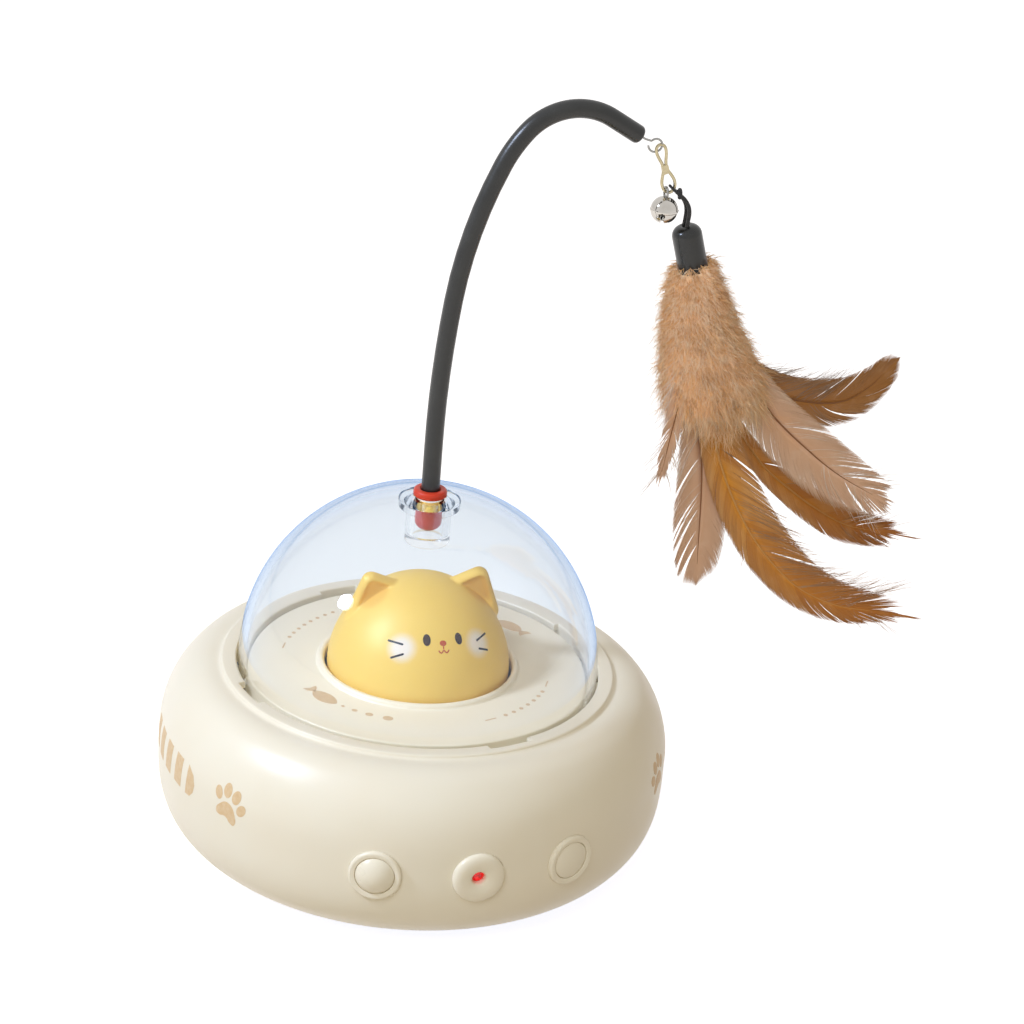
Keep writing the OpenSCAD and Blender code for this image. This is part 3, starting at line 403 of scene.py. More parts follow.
def lower_profile(angle):
    """The pan's section, from the bearing bore out to the seam and back over the floor."""
    return ([(BEARING_R, recess_z), (recess_r, recess_z), (recess_r, BELLY_Z + 0.3), (recess_r + 0.3, BELLY_Z)]
            + arc(belly_c, belly_arc_r, -90, belly_slope * 11 / 12 - 90, 11)
            + flank(BODY_R, LOWER_H, LOWER_POWER, lower_t, seam_t + 0.8, 10, -1)
            + [(seam_out_r - SEAM_CHAMFER, SEAM_Z - 0.02), (seam_in_r - 0.1, SEAM_Z - 0.02),
               (seam_in_r - 0.1, SEAM_Z + 3), (seam_in_r - 2.1, SEAM_Z + 3), (seam_in_r - 2.1, floor_top),
               (BEARING_R, floor_top)])


def spun(degrees, axis="Z"):
    return Matrix.Rotation(math.radians(degrees), 4, axis)


def at_port(turn_by):
    """The frame of a porthole, +Z out through it."""
    return Matrix.Translation((0, 0, PORT_Z)) @ spun(turn_by) @ spun(90, "X")


def bar(r, low, high, columns=48):
    """Points and faces of a round bar along Z."""
    return lathe(lambda a: [(0, low), (r, low), (r, high), (0, high)], even_turn(columns))


def block(low, high):
    """Points and faces of a box between two corners."""
    (x0, y0, z0), (x1, y1, z1) = low, high
    verts = [(x, y, z) for z in (z0, z1) for x, y in ((x0, y0), (x1, y0), (x1, y1), (x0, y1))]
    return verts, [(0, 3, 2, 1), (4, 5, 6, 7), (0, 1, 5, 4), (1, 2, 6, 5), (2, 3, 7, 6), (3, 0, 4, 7)]


port_seat = BODY_R - 0.6
port_hole_r = PORT_R - 0.9
slot_w, slot_h = SOCKET_W / 2 + SOCKET_FIT, SOCKET_H / 2 + SOCKET_FIT

notch_edges = [NOTCH_AT + 90 * k + side * NOTCH_ANGLE / 2 + nudge
               for k in range(4) for side in (-1, 1) for nudge in (-0.12, 0.12)]
shell_angles = sorted(even_turn(240) + [e % 360 for e in notch_edges])
upper_shell = solid("upper_shell_skin", lathe(upper_profile, shell_angles, closed=True))
port_cutters = [solid("cutter", lathe(
    lambda a: [(0, BODY_R - 9), (port_hole_r, BODY_R - 9), (port_hole_r, port_seat), (PORT_R + 0.04, port_seat),
               (PORT_R + 0.04, BODY_R + 2), (0, BODY_R + 2)], even_turn(64)), at_port(turn_by))
    for turn_by in (-PORT_ANGLE, 0, PORT_ANGLE)]
slot_cutter = solid("cutter", block((-slot_w, BODY_R - 12, SOCKET_Z - slot_h),
                                    (slot_w, BODY_R + 2, SOCKET_Z + slot_h)))
carve(upper_shell, port_cutters + [slot_cutter])
dress(upper_shell, cream_abs, "saucer", "shell_abs", "upper_shell")

lower_shell = solid("lower_shell_skin", lathe(lower_profile, even_turn(192), closed=True))
screw_wells = [solid("cutter", bar(SCREW_HEAD_R, BELLY_Z - 1, recess_z),
                     spun(a) @ Matrix.Translation((screw_ring_r, 0, 0))) for a in (45, 135, 225, 315)]
pry_r = seam_in_r + 0.6
pry_notch = solid("cutter", block((pry_r, -PRY_HALF, SEAM_Z - 1), (pry_r + PRY_DEEP, PRY_HALF, SEAM_Z + 1)),
                  spun(PRY_AT))
carve(lower_shell, screw_wells + [pry_notch])
dress(lower_shell, cream_abs, "saucer", "shell_abs", "lower_shell")


# Deck: a moulded ABS disc on the shelf inside the rim, screwed from below, with a raised
# round lip about the opening for the head.
deck_r = DOME_R - DOME_WALL - DOME_GAP
deck_z = rim_z - 0.5
HEAD_HOLE_R, LIP_H = 23.9, 1.3
lip_z = deck_z + LIP_H

deck_profile = ([(HEAD_HOLE_R, deck_z - WALL), (deck_r - WALL, deck_z - WALL), (deck_r - WALL, shelf_top),
                 (deck_r, shelf_top)]
                + arc((deck_r - 0.4, deck_z - 0.4), 0.4, 0, 90, 5)
                + [(HEAD_HOLE_R + 2.6, deck_z), (HEAD_HOLE_R + 2.1, deck_z + 0.1),
                   (HEAD_HOLE_R + 1.85, deck_z + 0.35)]
                + arc((HEAD_HOLE_R + 0.9, lip_z - 0.9), 0.9, 0, 180, 14))
# The deck's cream is lighter than the shell's: painted light, which makes up for the light the dome takes from it.
deck_abs_painted_lighter = moulded_abs("deck_abs_with_painted_light", "FCF3DC", "F7ECD2", 0.4)
deck = solid("deck_skin", lathe(lambda a: deck_profile, even_turn(192), closed=True))
dress(deck, deck_abs_painted_lighter, "saucer", "plate_abs", "deck_plate")


# Printed marks: thin tan ink laid on by a soft pad, paws and a banded tail on the flank,
# fish with dots and plain dashes on the deck. Each mark is a slip of ink sunk in the surface.
INK = "D8B78A"
INK_LIFT, INK_SINK = 0.05, 0.12


def pad_ink(name, colour, thin):
    """Pad-printing ink: matt, with pinholes and thin spots where the plastic shows through."""
    made = bare_material(name)
    where = node(made, "TexCoord", {}).outputs["Object"]
    spots = node(made, "TexNoise", {"Vector": where, "Scale": 1 / (1.1 * MM), "Detail": 4.0})
    worn = node(made, "MapRange", {"Value": spots, "From Min": 0.3, "From Max": 0.75})
    colours = node(made, "Mix", {"data_type": "RGBA", "Factor": worn, "A": linear(colour), "B": linear(thin)})
    relief = node(made, "Bump", {"Height": spots, "Distance": 0.01 * MM})
    skin = node(made, "BsdfPrincipled", {"Base Color": colours, "Normal": relief, "Roughness": 0.5, "IOR": 1.5})
    node(made, "OutputMaterial", {"Surface": skin})
    return made


def slip(outline, place, rings=4):
    """Points and faces of an inked patch; outline is a list of (u, v) in mm that its middle can see,
    and place turns u, v and a height into a point."""
    n = len(outline)
    mid = [sum(p[k] for p in outline) / n for k in (0, 1)]
    layers = []
    for height in (INK_LIFT, -INK_SINK):
        layers.append([place(mid[0], mid[1], height)])
        for ring in range(1, rings + 1):
            s = ring / rings
            layers[-1] += [place(mid[0] + s * (u - mid[0]), mid[1] + s * (v - mid[1]), height) for u, v in outline]
    size = 1 + rings * n
    faces = []
    for base, flip in ((0, 1), (size, -1)):
        for i in range(n):
            k = (i + 1) % n
            faces.append((base, base + 1 + i, base + 1 + k)[::flip])
            for ring in range(rings - 1):
                low = base + 1 + ring * n
                faces.append((low + i, low + n + i, low + n + k, low + k)[::flip])
    last = 1 + (rings - 1) * n
    faces += [(last + i, last + (i + 1) % n, size + last + (i + 1) % n, size + last + i)[::-1] for i in range(n)]
    return layers[0] + layers[1], faces


def tilted(outline, tilt):
    return [(u * cos(tilt) - v * sin(tilt), u * sin(tilt) + v * cos(tilt)) for u, v in outline]


def oval(u, v, a, b, tilt=0.0, steps=28):
    """Outline of an ellipse about (u, v)."""
    return [(u + du, v + dv) for du, dv in tilted([(a * cos(t), b * sin(t)) for t in even_turn(steps)], tilt)]


def flank_r(z):
    """Radius of the saucer's outside at a height."""
    h, power = (UPPER_H, UPPER_POWER) if z >= EQUATOR_Z else (LOWER_H, LOWER_POWER)
    return BODY_R * (1 - (abs(z - EQUATOR_Z) / h) ** power) ** (1 / power)


def on_flank(azimuth, height):
    """Lays a mark on the flank about a place; the azimuth is counted from the front towards +X."""
    def place(u, v, lift):
        z = height + v
        r = flank_r(z) + lift
        a = azimuth + math.degrees(u / BODY_R)
        return r * sin(a), -r * cos(a), z
    return place


def on_deck(angle, radius):
    """Lays a mark on the deck about a place; u runs round the deck and v out from its middle."""
    def place(u, v, lift):
        r = radius + v
        a = angle + math.degrees(u / radius)
        return r * cos(a), r * sin(a), deck_z + lift
    return place


def curve_through(points, steps, ring=False):
    """A smooth curve (Catmull-Rom) through a row of points, or a ring of them."""
    n = len(points)
    row = [points[-1], *points, points[0], points[1]] if ring else [
        2 * points[0] - points[1], *points, 2 * points[-1] - points[-2]]
    line = []
    for i in range(n if ring else n - 1):
        a, b, c, d = row[i:i + 4]
        for s in range(steps):
            t = s / steps
            line.append(0.5 * ((2 * b) + (c - a) * t + (2 * a - 5 * b + 4 * c - d) * t * t
                               + (3 * b - a - 3 * c + d) * t ** 3))
    return line if ring else line + [points[-1]]


def edged(corners, steps=6):
    """An outline with more points along its straight sides, so that it follows a curved face."""
    return [(a[0] + (b[0] - a[0]) * k / steps, a[1] + (b[1] - a[1]) * k / steps)
            for a, b in zip(corners, corners[1:] + corners[:1]) for k in range(steps)]


def paw(tilt):
    """Outlines of a paw print about 10 mm tall: a pad with three lobes and four toes."""
    half = [(0, 0.6), (1.5, 0.2), (2.7, -1.2), (3.5, -2.7), (3.1, -4.1), (1.7, -4.1), (0.6, -3.5)]
    pad = curve_through([Vector(p) for p in half + [(-u, v) for u, v in half[:0:-1]]], 5, ring=True)
    toes = [oval(-4.1, 1.2, 1.25, 1.75, 25), oval(-1.6, 3.4, 1.35, 1.95, 8),
            oval(1.6, 3.4, 1.35, 1.95, -8), oval(4.1, 1.2, 1.25, 1.75, -25)]
    return [tilted(o, tilt) for o in [pad] + toes]


def fish():
    """Outlines of a small fish, nose towards +u: a lens-shaped body and a forked tail."""
    body = [(4.2 * cos(t), 2.1 * sin(t) * abs(sin(t)) ** 0.35) for t in even_turn(40)]
    tail = [(-3.7, 0), (-5.2, 1.5), (-6.5, 1.8), (-5.9, 0.1), (-6.2, -1.7), (-5.1, -1.4)]
    return [body, tail]


def dashes(reach, gap, steps):
    """Outlines of a plain row: a dash at each end and round dots between."""
    dots = [oval(gap * (i - (steps - 1) / 2), 0, 0.55, 0.55) for i in range(steps)]
    ends = [[(side * reach + u, v) for u, v in ((-1.6, -0.18), (1.6, -0.18), (1.6, 0.18), (-1.6, 0.18))]
            for side in (-1, 1)]
    return dots + ends


tail_bands = [edged([(u - 2.0, -4.0), (u + 2.0, -4.2), (u + 2.7, 3.8), (u - 1.2, 4.0)])
              for u in (-22.4, -15.4, -8.4, -1.4)]
tail_end = edged([(3.4, -4.3), (5.6, -4.2), (7.2, -2.6), (7.8, -0.4), (7.0, 2.0), (4.3, 3.8)], 4)

tan_ink = pad_ink("tan_pad_ink", INK, "E0C6A0")
FLANK_MARKS = [("paw_print_left", -58.0, 34.0, paw(-14)), ("paw_print_right", 58.0, 34.0, paw(14)),
               ("tail_bands_left", -77.0, 33.4, tail_bands + [tail_end]),
               ("tail_bands_right", 77.0, 33.4, [[(-u, v) for u, v in o] for o in tail_bands + [tail_end]])]
for name, azimuth, height, outlines in FLANK_MARKS:
    mark = solid(name, joined([slip(o, on_flank(azimuth, height)) for o in outlines]))
    dress(mark, tan_ink, "saucer", "shell_abs")

growing_dots = [oval(u, 0, r, r * 0.8) for u, r in ((6.2, 0.5), (9.6, 0.75), (13.6, 1.0), (18.4, 1.3))]
DECK_MARKS = [("fish_front", -151.0, 31.6, fish() + growing_dots), ("fish_back", 31.0, 34.7, fish()),
              ("dashes_left", 132.0, 35.0, dashes(15, 2.8, 8)), ("dashes_right", -50.0, 33.5, dashes(13, 2.8, 7))]
for name, angle, radius, outlines in DECK_MARKS:
    mark = solid(name, joined([slip(o, on_deck(angle, radius)) for o in outlines]))
    dress(mark, tan_ink, "saucer", "plate_abs")


# Cat head: a hollow half ball of yellow ABS with two cupped ears, moulded in one and fixed
# under the deck by three screws. The cheeks are sprayed white and the face is pad printed.
HEAD_R, HEAD_CROWN = HEAD_HOLE_R - 0.7, 1.0
HEAD_BOTTOM = deck_z - WALL
HEAD_VOXEL = 0.32
head_c = Vector((0, 0, deck_z))
EARS_ASIDE = 0.6
# corners of an ear: aside, back and up from the head's middle, and rounding
EAR_CORNERS = [((14.0, 0.9, 23.2), 2.5), ((6.8, 0.9, 20.4), 2.4), ((17.9, 1.8, 13.0), 2.4),
               ((10.5, 4.0, 17.0), 2.8)]
EAR_SCOOP = [((13.8, -2.2, 22.4), 2.1), ((9.3, -2.3, 20.6), 2.1), ((16.3, -2.0, 15.6), 2.1)]
CHEEKS = [(-28.8, 34.0), (32.4, 33.7)]


def head_point(out, lift=0.0):
    """A point on the head in a direction; the ball is drawn up a little towards its crown."""
    high = max(0.0, out.z)
    return head_c + out * (HEAD_R + lift) + Vector((0, 0, HEAD_CROWN * high ** 3))


def head_way(azimuth, rise):
    """A direction from the head's middle, azimuth from the front towards +X, rise from level."""
    return Vector((sin(azimuth) * cos(rise), -cos(azimuth) * cos(rise), sin(rise)))


def ball(centre, r, steps=40):
    """Points and faces of a ball."""
    half = [(r * cos(e), centre[2] + r * sin(e)) for e in [-90 + 180 * i / steps for i in range(steps + 1)]]
    return lathe(lambda t: half, even_turn(2 * steps), at=centre)


def rounded_hull(name, corners, side):
    """A solid wrapped about balls at some corners, on one side of the head."""
    wrap = bmesh.new()
    for (x, y, z), r in corners:
        for p in ball((side * x + EARS_ASIDE, y, z + deck_z), r, 8)[0]:
            wrap.verts.new(Vector(p) * MM)
    hull = bmesh.ops.convex_hull(wrap, input=wrap.verts)
    inside = {v for v in hull["geom_interior"] + hull["geom_unused"] if isinstance(v, bmesh.types.BMVert)}
    bmesh.ops.delete(wrap, geom=list(inside), context="VERTS")
    mesh = bpy.data.meshes.new(name)
    wrap.to_mesh(mesh)
    wrap.free()
    made = bpy.data.objects.new(name, mesh)
    bpy.context.scene.collection.objects.link(made)
    return made


head = solid("cat_head_skin", ball(head_c, HEAD_R, 64))
for v in head.data.vertices:
    v.co = head_point((v.co / MM - head_c).normalized()) * MM
ears = []
for side in (-1, 1):
    ear = carve(rounded_hull("ear", EAR_CORNERS, side), [rounded_hull("cutter", EAR_SCOOP, side)])
    union = head.modifiers.new("ear", "BOOLEAN")
    union.operation = "UNION"
    union.object = ear
    ears.append(ear)
melt = head.modifiers.new("melt", "REMESH")
melt.mode = "VOXEL"
melt.voxel_size = HEAD_VOXEL * MM
soften = head.modifiers.new("soften", "SMOOTH")
soften.factor = 0.5
soften.iterations = 7
settled(head)
for ear in ears:
    bpy.data.objects.remove(ear)
trim = bmesh.new()
trim.from_mesh(head.data)
cut_edge = bmesh.ops.bisect_plane(trim, geom=trim.verts[:] + trim.edges[:] + trim.faces[:],
                                  plane_co=(0, 0, HEAD_BOTTOM * MM), plane_no=(0, 0, -1), clear_outer=True)
bmesh.ops.holes_fill(trim, edges=[e for e in cut_edge["geom_cut"] if isinstance(e, bmesh.types.BMEdge)])
trim.to_mesh(head.data)
trim.free()
shade(head.data, 50)


def yellow_abs():
    """Satin yellow ABS with soft white sprays on the cheeks, and painted shade in the ears: a deeper amber where
    their cups fall in shadow.
    """
    made = bare_material("yellow_satin_abs")
    where = node(made, "TexCoord", {}).outputs["Object"]
    cloud = node(made, "TexNoise", {"Vector": where, "Scale": 1 / (15 * MM), "Detail": 2.0})
    colours = node(made, "Mix", {"data_type": "RGBA", "Factor": cloud, "A": linear("FDDA74"),
                                 "B": linear("FAD368")})
    for azimuth, rise in CHEEKS:
        away = node(made, "VectorMath", {"operation": "DISTANCE", "Vector": where,
                                         "Vector_001": head_point(head_way(azimuth, rise)) * MM})
        cheek_spray_and_ear_shade = node(made, "MapRange", {"interpolation_type": "SMOOTHSTEP", "Value": away, "From Min": 1.4 * MM,
                                        "From Max": 4.6 * MM, "To Min": 0.9, "To Max": 0.0})
        colours = node(made, "Mix", {"data_type": "RGBA", "Factor": cheek_spray_and_ear_shade, "A": colours, "B": linear("FBF4EC")})
    # The ears' deeper amber is painted shade: each cup is drawn darker about its middle, where it falls in shadow.
    for side in (-1, 1):
        cup = Vector((side * 13.2 + EARS_ASIDE, -0.6, deck_z + 19.6)) * MM
        away = node(made, "VectorMath", {"operation": "DISTANCE", "Vector": where, "Vector_001": cup})
        cheek_spray_and_ear_shade = node(made, "MapRange", {"interpolation_type": "SMOOTHSTEP", "Value": away, "From Min": 2.6 * MM,
                                        "From Max": 5.2 * MM, "To Min": 0.5, "To Max": 0.0})
        colours = node(made, "Mix", {"data_type": "RGBA", "Factor": cheek_spray_and_ear_shade, "A": colours, "B": linear("E8B24E")})
    worn = node(made, "TexNoise", {"Vector": where, "Scale": 1 / (6 * MM)})
    gloss = node(made, "MapRange", {"Value": worn, "From Min": 0.35, "From Max": 0.65,
                                    "To Min": 0.45, "To Max": 0.53})
    sparks = node(made, "TexNoise", {"Vector": where, "Scale": 1 / (0.5 * MM)})
    relief = node(made, "Bump", {"Height": sparks, "Distance": 0.005 * MM})
    skin = node(made, "BsdfPrincipled",
                {"Base Color": colours, "Roughness": gloss, "Normal": relief, "IOR": 1.53,
                 "Subsurface Weight": 0.08, "Subsurface Radius": (0.8, 0.5, 0.2), "Subsurface Scale": 2 * MM})
    node(made, "OutputMaterial", {"Surface": skin})
    return made


dress(head, yellow_abs(), "saucer", "head_abs", "cat_head")


def on_head(azimuth, rise):
    """Lays a mark on the head about a place, u to the right and v up."""
    out = head_way(azimuth, rise)
    right = Vector((cos(azimuth), sin(azimuth), 0))
    up = out.cross(right)

    def place(u, v, lift):
        return tuple(head_point((out * HEAD_R + right * u + up * v).normalized(), lift))
    return place


def stroke(points, width):
    """Outline of a short brush stroke with rounded ends through two points."""
    (u0, v0), (u1, v1) = points
    tilt = math.degrees(math.atan2(v1 - v0, u1 - u0))
    ends = [(u1, v1, tilt - 90), (u0, v0, tilt + 90)]
    return [(u + width / 2 * cos(start + 18 * i), v + width / 2 * sin(start + 18 * i))
            for u, v, start in ends for i in range(11)]


def smile(steps=8):
    """Short strokes of a small double curve below the nose."""
    side = [(0.12 + 1.15 * i / steps, -0.55 * sin(180 * i / steps)) for i in range(steps + 1)]
    runs = [side, [(-u, v) for u, v in side]]
    return [stroke((run[i], run[i + 1]), 0.3) for run in runs for i in range(steps)]


brown_ink = pad_ink("brown_pad_ink", "3A271A", "463122")
black_ink = pad_ink("black_pad_ink", "1E1A18", "2A2523")
coral_ink = pad_ink("coral_pad_ink", "C2502C", "C4643E")
EYES = [(-10.4, 40.2, 6), (16.1, 39.6, -4)]
face_eyes = solid("face_eyes", joined([slip(oval(0, 0, 0.95, 1.45, tilt), on_head(azimuth, rise))
                                       for azimuth, rise, tilt in EYES]))
dress(face_eyes, brown_ink, "saucer", "head_abs")
nose = [(0.85 * cos(t), 0.68 * sin(t)) for t in even_turn(24)]
face_mouth = solid("face_mouth", joined(
    [slip(nose, on_head(2.4, 38.1)), slip(stroke(((0, 0.9), (0, -0.1)), 0.26), on_head(2.4, 34.9))]
    + [slip(o, on_head(2.4, 33.7), 2) for o in smile()]))
dress(face_mouth, coral_ink, "saucer", "head_abs")
WHISKERS = [((-40.2, 36.9), (-28.9, 36.4)), ((-35.0, 27.3), (-27.3, 30.6)),
            ((32.4, 35.6), (43.6, 37.0)), ((32.0, 30.4), (39.2, 27.6))]
whiskers = []
for ends in WHISKERS:
    mid_a, mid_r = [(a + b) / 2 for a, b in zip(*ends)]
    reach = [(math.radians(a - mid_a) * cos(mid_r) * HEAD_R, math.radians(r - mid_r) * HEAD_R) for a, r in ends]
    whiskers.append(slip(stroke(reach, 0.5), on_head(mid_a, mid_r)))
dress(solid("face_whiskers", joined(whiskers)), black_ink, "saucer", "head_abs")


# Portholes: pressed-in ABS rings. Left and right hold crowned push buttons, the middle one
# is a wide bead about the hole where the light comes out, with a red lens in it.
BUTTON_R, PLUNGER_R, OUTLET_R = 4.8, 1.6, 1.6
BEZEL_IN_R = 4.86
BEZEL_BACK = port_seat - WALL - 2.2
BARREL_R = 3.0
barrel_seat = port_seat - 3.2
LENS_R, LENS_NOSE_R = BARREL_R - 0.9, OUTLET_R - 0.1

RING_PROUD, RING_ROUND = 1.5, 0.75
ring_profile = ([(BEZEL_IN_R, BEZEL_BACK), (port_hole_r - 0.05, BEZEL_BACK), (port_hole_r - 0.05, port_seat),
                 (PORT_R, port_seat)]
                + arc((PORT_R - RING_ROUND, port_seat + RING_PROUD - RING_ROUND), RING_ROUND, 0, 84, 12)
                + arc((BEZEL_IN_R + 0.25, port_seat + RING_PROUD - 0.45), 0.25, 84, 180, 8))
for name, turn_by in (("power_bezel", -PORT_ANGLE), ("mode_bezel", PORT_ANGLE)):
    bezel = solid(name + "_skin", lathe(lambda a: ring_profile, even_turn(96), closed=True), at_port(turn_by))
    dress(bezel, cream_abs, "saucer", "button_abs", name)

outlet_mid, outlet_half = (PORT_R + OUTLET_R) / 2, (PORT_R - OUTLET_R) / 2
outlet_profile = ([(OUTLET_R, barrel_seat), (BARREL_R + 0.1, barrel_seat), (BARREL_R + 0.1, barrel_seat - 4),
                   (port_hole_r - 0.05, barrel_seat - 4), (port_hole_r - 0.05, port_seat), (PORT_R, port_seat)]
                  + [(outlet_mid + outlet_half * cos(a), port_seat + 0.6 + 1.5 * sin(a) ** 0.8)
                     for a in [180 * i / 36 for i in range(36)]]
                  + [(OUTLET_R, port_seat + 0.6)])
outlet = solid("laser_bezel_skin", lathe(lambda a: outlet_profile, even_turn(96), closed=True), at_port(0))
dress(outlet, cream_abs, "saucer", "button_abs", "laser_bezel")


def red_lens():
    """Red acrylic lit from behind by the diode: glossy, with a bright and uneven glow."""
    made = bare_material("red_lit_acrylic")
    where = node(made, "TexCoord", {}).outputs["Object"]
    glints = node(made, "TexNoise", {"Vector": where, "Scale": 1 / (0.8 * MM)})
    parts = node(made, "MapRange", {"Value": glints, "From Min": 0.4, "From Max": 0.62})
    glow = node(made, "Mix", {"data_type": "RGBA", "Factor": parts, "A": linear("E0161A"), "B": linear("A50A0C")})
    skin = node(made, "BsdfPrincipled", {"Base Color": glow, "Emission Color": glow, "Emission Strength": 0.7,
                                         "Roughness": 0.12, "IOR": 1.49})
    node(made, "OutputMaterial", {"Surface": skin})
    return made


lens_profile = ([(0, barrel_seat - 2.4), (LENS_R, barrel_seat - 2.4), (LENS_R, barrel_seat - 0.9),
                 (LENS_NOSE_R, barrel_seat - 0.7), (LENS_NOSE_R, port_seat - 0.3)]
                + [(LENS_NOSE_R * cos(a), port_seat - 0.3 + 0.5 * sin(a)) for a in range(10, 91, 10)])
lens = solid("laser_lens_skin", lathe(lambda a: lens_profile, even_turn(48)), at_port(0))
dress(lens, red_lens(), "saucer", "lens_acrylic", "laser_lens")

flange_d = BEZEL_BACK - 0.3
flange_low = flange_d - 1.2
plunger_tip = flange_low - 2.6
button_flange_r = BUTTON_R + 0.6
button_abs = moulded_abs("button_moulded_abs", CREAM, "E9DEC6", 0.3)
for name, turn_by, crown, body in (("power_button", -PORT_ANGLE, 2.4, "power_key"),
                                   ("mode_button", PORT_ANGLE, 1.0, "mode_key")):
    crown_r = (BUTTON_R ** 2 + crown ** 2) / (2 * crown)
    half = math.degrees(math.asin(BUTTON_R / crown_r))
    top = port_seat + 1.1 + crown
    button_profile = ([(0, plunger_tip), (PLUNGER_R, plunger_tip), (PLUNGER_R, flange_low),
                       (button_flange_r, flange_low), (button_flange_r, flange_d), (BUTTON_R, flange_d),
                       (BUTTON_R, port_seat + 0.95)]
                      + arc((0, top - crown_r), crown_r, 90 - half * 0.97, 90, 20))
    button = solid(name + "_skin", lathe(lambda a: button_profile, even_turn(96)), at_port(turn_by))
    dress(button, button_abs, body, "button_abs", name)


# Dome: one clear acrylic moulding, a half ball with a skirt that drops inside the rim, four
# tabs that lock under it, and a socket cup under its top for the rod's plug.
dome_z = rim_z + 0.8
dome_top = dome_z + DOME_R
land_z = dome_top - 0.35
CUP_R, CUP_DEPTH, CUP_BORE = 5.65, 12.8, 3.65
BOSS_R = CUP_R + 1.9
skirt_z = shelf_top + 0.3
tab_top = rim_z - LOCK_LIP - 0.3
dome_in = DOME_R - DOME_WALL


def dome_profile(angle):
    """The dome's section from the cup's floor, over the top and back up inside."""
    out = tab_r - DOME_R if abs((angle - NOTCH_AT + TWIST_ANGLE + 45) % 90 - 45) < TAB_ANGLE / 2 else 0
    lip = math.degrees(math.acos(CUP_R / DOME_R))
    inner = math.degrees(math.acos(BOSS_R / dome_in))
    cup_low = land_z - CUP_DEPTH
    return ([(0, cup_low + 2), (CUP_BORE - 0.4, cup_low + 2), (CUP_BORE, cup_low + 2.4), (CUP_BORE, land_z - 0.2),
             (CUP_BORE + 0.2, land_z), (CUP_R - 0.2, land_z)]
            + arc((0, dome_z), DOME_R, lip, 0, 72)
            + [(DOME_R, tab_top + 0.1), (DOME_R + out, tab_top), (DOME_R + out, skirt_z + 0.2),
               (DOME_R + out - 0.2, skirt_z), (dome_in + 0.2, skirt_z), (dome_in, skirt_z + 0.2)]
            + arc((0, dome_z), dome_in, 0, inner, 64)
            + arc((BOSS_R - 0.5, dome_top - DOME_WALL - 1.9), 0.5, 0, -90, 4)
            + arc((CUP_R + 0.4, dome_top - DOME_WALL - 2.8), 0.4, 90, 180, 4)
            + arc((CUP_R - 0.7, cup_low + 0.7), 0.7, 0, -90, 6)
            + [(0, cup_low)])


def clear_acrylic():
    """Polished clear acrylic: sharp reflections, and a faint blue that builds up where the
    eye looks along the wall. Light passes through it to what is inside."""
    made = bare_material("clear_acrylic")
    where = node(made, "TexCoord", {}).outputs["Object"]
    ripple = node(made, "TexNoise", {"Vector": where, "Scale": 1 / (30 * MM), "Detail": 0.0})
    relief = node(made, "Bump", {"Height": ripple, "Distance": 0.04 * MM})
    skin = node(made, "BsdfPrincipled", {"Base Color": linear("FFFFFF"), "Transmission Weight": 1.0, "IOR": 1.49,
                                         "Roughness": 0.0, "Normal": relief})
    through = node(made, "BsdfTransparent", {"Color": linear("FFFFFF")})
    path = node(made, "LightPath", {})
    light = node(made, "Math", {"operation": "ADD", "use_clamp": True, "Value": path.outputs["Is Shadow Ray"],
                                "Value_001": path.outputs["Is Diffuse Ray"]})
    both = node(made, "MixShader", {"Fac": light, "Shader": skin, "Shader_001": through})
    tint = node(made, "VolumeAbsorption", {"Color": linear("A6C8E4"), "Density": 12.0})
    node(made, "OutputMaterial", {"Surface": both, "Volume": tint})
    return made


tab_edges = [NOTCH_AT - TWIST_ANGLE + 90 * k + side * TAB_ANGLE / 2 + nudge
             for k in range(4) for side in (-1, 1) for nudge in (-0.12, 0.12)]
dome = solid("dome_skin", lathe(dome_profile, sorted(even_turn(240) + [e % 360 for e in tab_edges])), sharp=24)
dress(dome, clear_acrylic(), "dome", "clear_acrylic", "dome")


# Rod: a soft red plug sits tight in the dome's cup and grips the rod's foot. The rod is a
# black vinyl sleeve over a steel wire, bent into a hook, and the wire's end is an open eye.
ROD_R, WIRE_R = 2.3, 0.27
ROD_FOOT_Z = dome_top - 7
ROD_UP_Z = dome_top + 13
ROD_BENDS = [(300, 7.3), (115, 25), (35, 41), (16.5, 121)]
ROD_END = 9.0
PLUG_R, PLUG_FLANGE_R, PLUG_FLANGE_T, PLUG_L = CUP_BORE - 0.4, 4.2, 1.9, 9.0
EYE_R, WIRE_OUT = 1.7, 2.8


# Soft cast silicone: deep red that light sinks into, and a dull sheen with handling marks.
red_silicone = mottled("red_silicone", "D8452A", "C4331C", (4, 2.0, 0, 1), (2, 2.0), (0.32, 0.45), (2, 2.0), 0.01,
                       {"IOR": 1.43, "Subsurface Weight": 0.25, "Subsurface Radius": (1.0, 0.25, 0.15),
                        "Subsurface Scale": 1.5 * MM})
plug_low = land_z - PLUG_L
plug_profile = ([(0, plug_low)] + arc((PLUG_R - 2.6, plug_low + 2.6), 2.6, -90, 0, 14)
                + [(PLUG_R, land_z - 2.6), (CUP_BORE - 0.04, land_z - 2.0), (CUP_BORE - 0.04, land_z + 0.05),
                   (PLUG_FLANGE_R - 0.3, land_z + 0.05), (PLUG_FLANGE_R, land_z + 0.35)]
                + arc((PLUG_FLANGE_R - 0.8, land_z + 0.05 + PLUG_FLANGE_T - 0.8), 0.8, 0, 90, 8)
                + [(ROD_R + 0.45, land_z + 0.05 + PLUG_FLANGE_T), (ROD_R + 0.05, land_z + PLUG_FLANGE_T - 0.35),
                   (ROD_R + 0.05, ROD_FOOT_Z - 0.1), (0, ROD_FOOT_Z - 0.1)])
plug = solid("rod_plug_skin", lathe(lambda a: plug_profile, even_turn(96)))
dress(plug, red_silicone, "plug", "red_rubber", "rod_plug")


